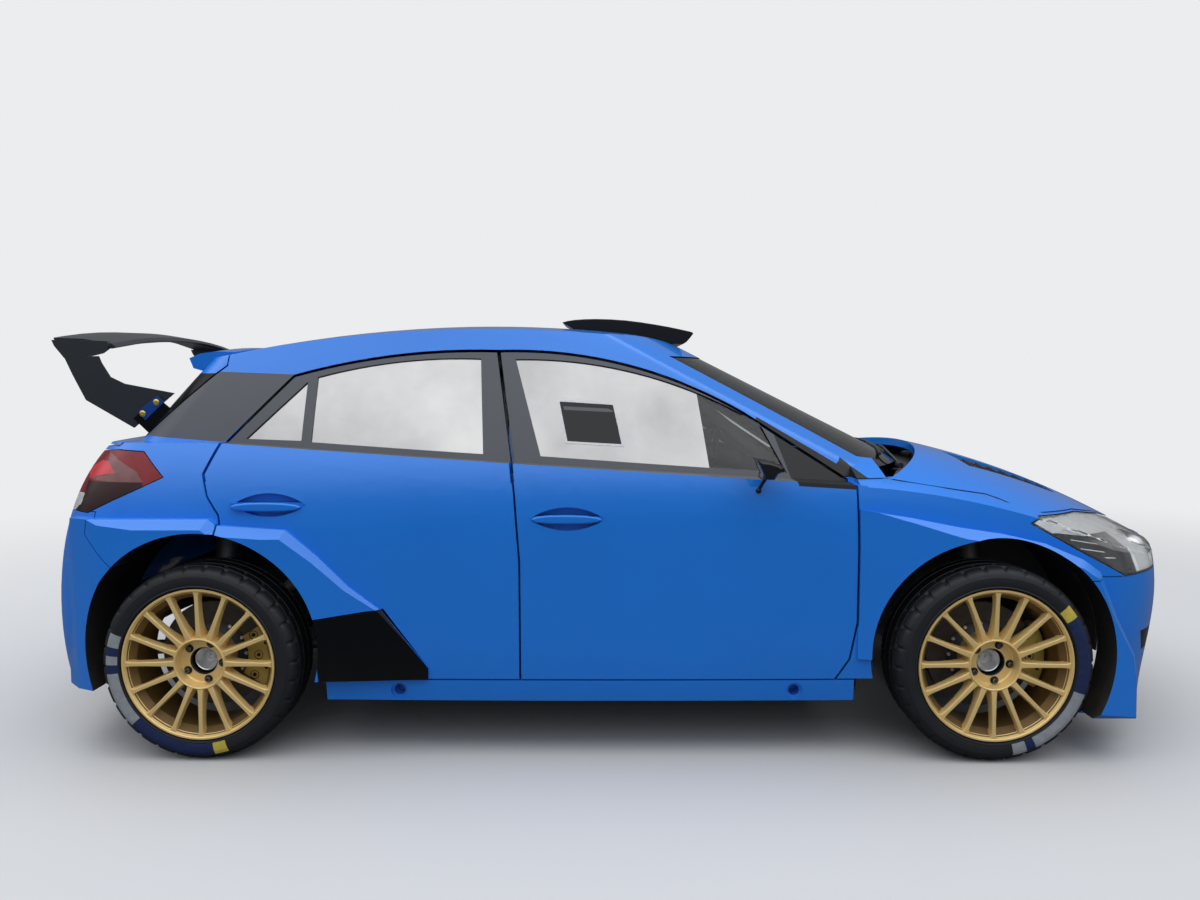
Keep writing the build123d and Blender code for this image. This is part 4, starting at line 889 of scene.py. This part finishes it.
# Darkened gold for the inside of the barrel: partly brake dust, partly painted shade within the rim.
gold_shade_and_dust = new_finish("gold_shade_and_dust", (0.20, 0.125, 0.042), 0.5, metallic=0.35, film=0.2,
                        film_colour=(0.06, 0.05, 0.04, 1))
axle = (1.205, -0.805, 0.320)
rear_shift = -2.570
spoke_count = 16
rim_profile = [(-0.097, 0.249), (-0.100, 0.2475), (-0.100, 0.2425), (-0.0975, 0.240), (-0.094, 0.239),
               (-0.090, 0.2365),
               (-0.074, 0.2275), (-0.060, 0.217), (-0.030, 0.2145), (0.010, 0.214), (0.014, 0.2175),
               (0.070, 0.2175),
               (0.086, 0.224), (0.094, 0.238), (0.100, 0.243), (0.100, 0.2475), (0.096, 0.249),
               (0.088, 0.239),
               (0.084, 0.2325), (-0.084, 0.2325), (-0.092, 0.241)]
hub_profile = [(-0.052, 0.0455), (-0.052, 0.070), (-0.056, 0.0735), (-0.084, 0.0765), (-0.0885, 0.0785),
               (-0.090, 0.081), (-0.089, 0.084), (-0.084, 0.087), (-0.050, 0.0915), (-0.035, 0.092),
               (0.019, 0.082),
               (0.019, 0.0455), (-0.049, 0.0430)]
# Columns: radius, front and back across the wheel, front and back half width
spoke_stations = [(0.080, -0.0865, -0.044, 0.0125, 0.0158), (0.090, -0.0885, -0.048, 0.0092, 0.0156),
                  (0.102, -0.0895, -0.054, 0.0080, 0.0140), (0.130, -0.0915, -0.061, 0.0072, 0.0105),
                  (0.170, -0.0930, -0.066, 0.0066, 0.0085), (0.208, -0.0945, -0.068, 0.0063, 0.0080),
                  (0.226, -0.0950, -0.066, 0.0068, 0.0100), (0.238, -0.0958, -0.062, 0.0100, 0.0170)]


def ring_pose(radius, across, width):
    """A place on the upright spoke of the front right wheel."""
    return (axle[0] + width, axle[1] + across, axle[2] + radius)


sections = []
for radius, front, back, front_half, back_half in spoke_stations:
    sections.append([ring_pose(radius, front, -front_half), ring_pose(radius, front, front_half),
                     ring_pose(radius, back, back_half), ring_pose(radius, back, -back_half)])
spokes = loft("spokes_front_right", gold_paint, sections)
bpy.ops.object.mode_set(mode="OBJECT")
round_edges(spokes, 0.0022, 3, 35)
work_on(spokes)
bpy.ops.mesh.select_all(action="SELECT")
bpy.ops.mesh.spin(steps=spoke_count - 1, dupli=True, angle=2 * pi * (spoke_count - 1) / spoke_count,
                  center=axle, axis=(0, 1, 0))
bpy.ops.object.mode_set(mode="OBJECT")

barrel = turned("barrel", gold_paint, rim_profile, axle, 128)
# The barrel's inner part, behind the spokes, takes the darkened gold: painted shade and brake dust.
bpy.ops.mesh.select_mode(type="FACE")
pick(lambda face: face.calc_center_median().y > axle[1] - 0.083)
paint_picked(barrel, gold_shade_and_dust)
bpy.ops.object.mode_set(mode="OBJECT")
centre = turned("wheel_centre", gold_paint, hub_profile, axle, 96)
bpy.ops.mesh.select_mode(type="FACE")
pick(lambda face: hypot(face.calc_center_median().x - axle[0], face.calc_center_median().z - axle[2]) < 0.0457)
paint_picked(centre, nut_black)
bpy.ops.object.mode_set(mode="OBJECT")
wheel = join("wheel_front_right_rim", barrel, centre, spokes)
smooth(wheel, 32)

nut_place = (axle[0], axle[1], axle[2] + 0.062)
seat_profile = [(-0.050, 0.0), (-0.050, 0.0135), (-0.0535, 0.0135), (-0.0545, 0.012), (-0.0535, 0.0)]
nut_profile = [(-0.052, 0.0), (-0.052, 0.0088), (-0.0615, 0.0088), (-0.063, 0.0074), (-0.063, 0.0040),
               (-0.056, 0.0036), (-0.056, 0.0)]
seat_ring = turned("nut_seat", nut_black, seat_profile, nut_place, 24)
bpy.ops.object.mode_set(mode="OBJECT")
nut = turned("nut", nut_steel, nut_profile, nut_place, 6)
bpy.ops.object.mode_set(mode="OBJECT")
nuts = join("wheel_front_right_nuts", seat_ring, nut)
work_on(nuts)
bpy.ops.mesh.select_all(action="SELECT")
bpy.ops.transform.rotate(value=radians(-23.5), orient_axis="Y", center_override=axle)
bpy.ops.mesh.spin(steps=4, dupli=True, angle=2 * pi * 4 / 5, center=axle, axis=(0, 1, 0))
bpy.ops.object.mode_set(mode="OBJECT")
smooth(nuts, 25)

wheel_places = [("front", "right", 0.0, False), ("front", "left", 0.0, True),
                ("rear", "right", rear_shift, False), ("rear", "left", rear_shift, True)]
for end, side, shift, left in wheel_places:
    rim = copy_of(wheel, f"rim_{end}_{side}_forged", shift, left)
    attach(rim, f"wheel_{end}_{side}")
    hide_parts(f"rim_{end}_{side}")
    wheel_nuts = copy_of(nuts, f"wheel_nuts_{end}_{side}", shift, left)
    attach(wheel_nuts, f"wheel_{end}_{side}")
for pattern in (wheel, nuts):
    bpy.data.objects.remove(pattern)

# Brake discs: a grey iron ring, vented at its edge, on a dark bell that also carries the
# bright hub nose seen through the wheel's bore.
iron = new_finish("disc_iron", (0.085, 0.08, 0.08), 0.42, metallic=0.7, cloud_size=30, cloud_depth=0.3)
bell_black = new_finish("bell_black", (0.035, 0.035, 0.038), 0.4, metallic=0.5, grain=0.3)
hub_steel = new_finish("hub_steel", (0.72, 0.72, 0.72), 0.25, metallic=0.6)
ring_profile = [(0.037, 0.112), (0.037, 0.177), (0.0385, 0.178), (0.046, 0.178), (0.046, 0.165),
                (0.054, 0.165),
                (0.054, 0.178), (0.0615, 0.178), (0.063, 0.177), (0.063, 0.112)]
bell_profile = [(0.020, 0.033), (0.020, 0.073), (0.023, 0.077), (0.034, 0.098), (0.036, 0.113),
                (0.043, 0.113),
                (0.043, 0.096), (0.034, 0.070), (0.034, 0.033)]
nose_profile = [(0.034, 0.0), (0.034, 0.040), (-0.028, 0.0400), (-0.0315, 0.0390), (-0.0330, 0.0365),
                (-0.0315, 0.0345),
                (-0.018, 0.0325), (0.004, 0.0240), (0.008, 0.0215), (0.009, 0.0140), (0.002, 0.0135),
                (0.001, 0.0120),
                (0.001, 0.0070), (0.010, 0.0060), (0.010, 0.0)]
bobbin_profile = [(0.030, 0.0), (0.030, 0.0055), (0.0325, 0.0065), (0.037, 0.0065), (0.037, 0.0)]
iron_ring = turned("iron_ring", iron, ring_profile, axle, 96)
bpy.ops.object.mode_set(mode="OBJECT")
bell = turned("bell", bell_black, bell_profile, axle, 72)
bpy.ops.object.mode_set(mode="OBJECT")
nose = turned("nose", hub_steel, nose_profile, axle, 48)
bpy.ops.object.mode_set(mode="OBJECT")
bobbin = turned("bobbin", hub_steel, bobbin_profile, (axle[0], axle[1], axle[2] + 0.105), 12)
bpy.ops.mesh.select_all(action="SELECT")
bpy.ops.mesh.spin(steps=11, dupli=True, angle=2 * pi * 11 / 12, center=axle, axis=(0, 1, 0))
bpy.ops.object.mode_set(mode="OBJECT")
disc = join("disc_front_right", iron_ring, bell, nose, bobbin)
smooth(disc, 30)
for end, side, shift, left in wheel_places:
    brake = copy_of(disc, f"brake_disc_{end}_{side}_turned", shift, left)
    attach(brake, f"wheel_{end}_{side}")
    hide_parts(f"brake_disc_{end}_{side}")
bpy.data.objects.remove(disc)

# Tyres: low-profile road-rally covers with cut shoulders. Plain blue, white and yellow
# bands are printed round part of the sidewalls.
rubber = new_finish("tyre_rubber", (0.0095, 0.0108, 0.0145), 0.5, gloss=0.35, grain=0.35, grain_size=600,
                    film=0.18, film_top=0.7, film_colour=(0.07, 0.066, 0.06, 1))
band_blue = new_finish("band_blue", (0.012, 0.024, 0.085), 0.5, gloss=0.3, cloud_size=45, cloud_depth=0.35)
band_white = new_finish("band_white", (0.29, 0.305, 0.33), 0.5, gloss=0.3, cloud_size=45, cloud_depth=0.35)
band_yellow = new_finish("band_yellow", (0.58, 0.46, 0.07), 0.5, gloss=0.3, cloud_size=45, cloud_depth=0.25)
half_section = [(0.000, 0.320), (0.020, 0.320), (0.0215, 0.3150), (0.0265, 0.3150), (0.028, 0.320),
                (0.058, 0.3198),
                (0.0595, 0.3148), (0.0640, 0.3145), (0.0655, 0.3195), (0.076, 0.3175), (0.087, 0.3125),
                (0.094, 0.3060),
                (0.0985, 0.2985), (0.1010, 0.2900), (0.1025, 0.2890), (0.1035, 0.2780), (0.1030, 0.2660),
                (0.1015, 0.2600),
                (0.1030, 0.2575), (0.1020, 0.2545), (0.0965, 0.2520), (0.0900, 0.2505), (0.0840, 0.2400),
                (0.0840, 0.2330)]
tyre_profile = half_section + [(-a, r) for a, r in reversed(half_section[1:])]
tyre_steps = 120
# Columns: start and end angle from ahead, upwards, and the band's finish
bands = {
    "front": [(33, 42, band_yellow), (-18, 33, band_blue), (-63, -18, band_white), (-69, -63, band_blue),
              (-78, -69, band_white)],
    "rear": [(159, 168, band_white), (168, 174, band_blue), (174, 180, band_white), (180, 186, band_blue),
             (186, 222, band_white), (222, 279, band_blue), (279, 288, band_yellow)],
}
band_inner, band_outer = 0.2590, 0.2990
tyre = turned("tyre_front_right_cover", rubber, tyre_profile, axle, tyre_steps)
bpy.ops.mesh.select_mode(type="FACE")


def wheel_spot(middle):
    """Across, radius and angle of a place on the front right wheel."""
    dx, dz = middle.x - axle[0], middle.z - axle[2]
    return middle.y - axle[1], hypot(dx, dz), degrees(atan2(dz, dx))


def on_shoulder_block(face):
    """Whether a face is one of the cuts across the tread's shoulders."""
    across, radius, angle = wheel_spot(face.calc_center_median())
    column = int((angle % 360) // (360 / tyre_steps))
    return column % 4 == (0 if across < 0 else 2) and 0.066 < abs(across) < 0.0985 and radius > 0.299


def on_middle_cut(face):
    """Whether a face is one of the slanted cuts between the tread's grooves."""
    across, radius, angle = wheel_spot(face.calc_center_median())
    column = int((angle % 360) // (360 / tyre_steps))
    return column % 4 == (1 if across < 0 else 3) and 0.0285 < abs(across) < 0.0575 and radius > 0.318


for test in (on_shoulder_block, on_middle_cut):
    pick(test)
    bpy.ops.mesh.inset(thickness=0.0058, depth=0)
    bpy.ops.transform.resize(value=(0.984, 1, 0.984), center_override=axle)
bpy.ops.object.mode_set(mode="OBJECT")
for end, side, shift, left in wheel_places:
    cover = copy_of(tyre, f"tyre_{end}_{side}_cover", 0.0, False)
    for band in (band_blue, band_white, band_yellow):
        cover.data.materials.append(band)
    for face in cover.data.polygons:
        across, radius, angle = wheel_spot(face.center)
        for start, finish_angle, band in bands[end]:
            on_band = across < -0.09 and band_inner < radius < band_outer
            if on_band and (angle - start) % 360 < finish_angle - start:
                face.material_index = cover.data.materials.find(band.name)
    cover.data.transform(Matrix.Translation((shift, 0, 0)))
    if left:
        cover.data.transform(Matrix.Diagonal((1, -1, 1, 1)))
        cover.data.flip_normals()
    smooth(cover, 32)
    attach(cover, f"wheel_{end}_{side}")
    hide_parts(f"tyre_{end}_{side}")
bpy.data.objects.remove(tyre)

# Calipers and uprights: machined alloy, the calipers anodised gold.
caliper_gold = new_finish("caliper_gold", (0.62, 0.47, 0.12), 0.3, metallic=0.6, film=0.2)
for caliper in ("caliper_front_left", "caliper_front_right", "rear_calipers"):
    dress(caliper, caliper_gold, bevel=0.004)
cap_profile = [(0.004, 0.0), (0.004, 0.015), (-0.001, 0.015), (-0.002, 0.0135), (0.001, 0.0120),
               (0.001, 0.007),
               (-0.002, 0.006), (-0.002, 0.0)]
screw_profile = [(0.004, 0.0), (0.004, 0.0062), (-0.004, 0.0062), (-0.005, 0.005), (-0.005, 0.0)]
caps = []
for turn in (-26, 0, 26):
    place = (axle[0] + 0.155 * cos(radians(turn)), -0.792, axle[2] + 0.155 * sin(radians(turn)))
    caps.append(turned(f"piston_cap_{turn}", nut_black, cap_profile, place, 24))
    bpy.ops.object.mode_set(mode="OBJECT")
for turn in (-13, 13):
    place = (axle[0] + 0.185 * cos(radians(turn)), -0.792, axle[2] + 0.185 * sin(radians(turn)))
    caps.append(turned(f"caliper_screw_{turn}", nut_black, screw_profile, place, 12))
    bpy.ops.object.mode_set(mode="OBJECT")
fittings = join("caliper_fittings", *caps)
smooth(fittings, 30)
for end, side, shift, left in wheel_places:
    set_of_caps = copy_of(fittings, f"caliper_fittings_{end}_{side}", shift, left)
    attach(set_of_caps, f"knuckle_{side}" if end == "front" else "chassis")
bpy.data.objects.remove(fittings)

# Frame, running gear and interior, which show under the car, in the arches and through
# the clear glass: painted steel, bare steel and cast alloy.
frame_paint = new_finish("frame_paint", (0.03, 0.03, 0.032), 0.5, film=0.4)
bare_metal = new_finish("bare_metal", (0.35, 0.35, 0.36), 0.4, metallic=0.9)
cast_alloy = new_finish("cast_alloy", (0.10, 0.10, 0.105), 0.5, metallic=0.7, grain=0.5, film=0.3)
cage_paint = new_finish("cage_paint", (0.55, 0.56, 0.57), 0.4)
for part in ("front_suspension", "rear_suspension", "front_frame", "floor_pan"):
    dress(part, frame_paint)
dress("roll_cage", cage_paint)
for part in ("driveshafts", "exhaust"):
    dress(part, bare_metal)
for part in ("upright_front_left", "upright_front_right", "rear_uprights", "engine", "radiator"):
    dress(part, cast_alloy)

# Bucket seats: black composite shells with separate knitted pads for seat, back and head.
shell_black = new_finish("shell_black", (0.014, 0.014, 0.015), 0.3, coat=0.4, cloud_size=180, cloud_depth=0.5)
knit = new_finish("knit", (0.022, 0.022, 0.026), 0.9, gloss=0.2, grain=1.0, grain_size=900, cloud_size=400,
                  cloud_depth=0.5)
dress("bucket_seats", shell_black, bevel=0.02)
# Columns: name, middle, size, lean in degrees
pads = [("seat_pad", (0.075, -0.37, 0.392), (0.26, 0.34, 0.055), -13),
        ("back_pad", (-0.168, -0.37, 0.640), (0.050, 0.34, 0.34), -14),
        ("head_pad", (-0.242, -0.37, 0.935), (0.045, 0.26, 0.13), -14)]
for name, middle, size, lean in pads:
    bpy.ops.object.select_all(action="DESELECT")
    bpy.ops.mesh.primitive_cube_add(size=1, location=middle, rotation=(0, radians(lean), 0), scale=size)
    pad = take_name(bpy.context.object, f"{name}_right", knit)
    bpy.ops.object.transform_apply(location=True, rotation=True, scale=True)
    work_on(pad)
    bpy.ops.mesh.select_all(action="SELECT")
    bpy.ops.mesh.subdivide(number_cuts=2)
    bpy.ops.object.mode_set(mode="OBJECT")
    crown = pad.modifiers.new("crown", "SUBSURF")
    crown.levels = crown.render_levels = 3
    bpy.ops.object.modifier_apply(modifier=crown.name)
    smooth(pad, 60)
    for side, piece in (("right", pad), ("left", copy_of(pad, f"{name}_left", to_left=True))):
        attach(piece, "chassis")
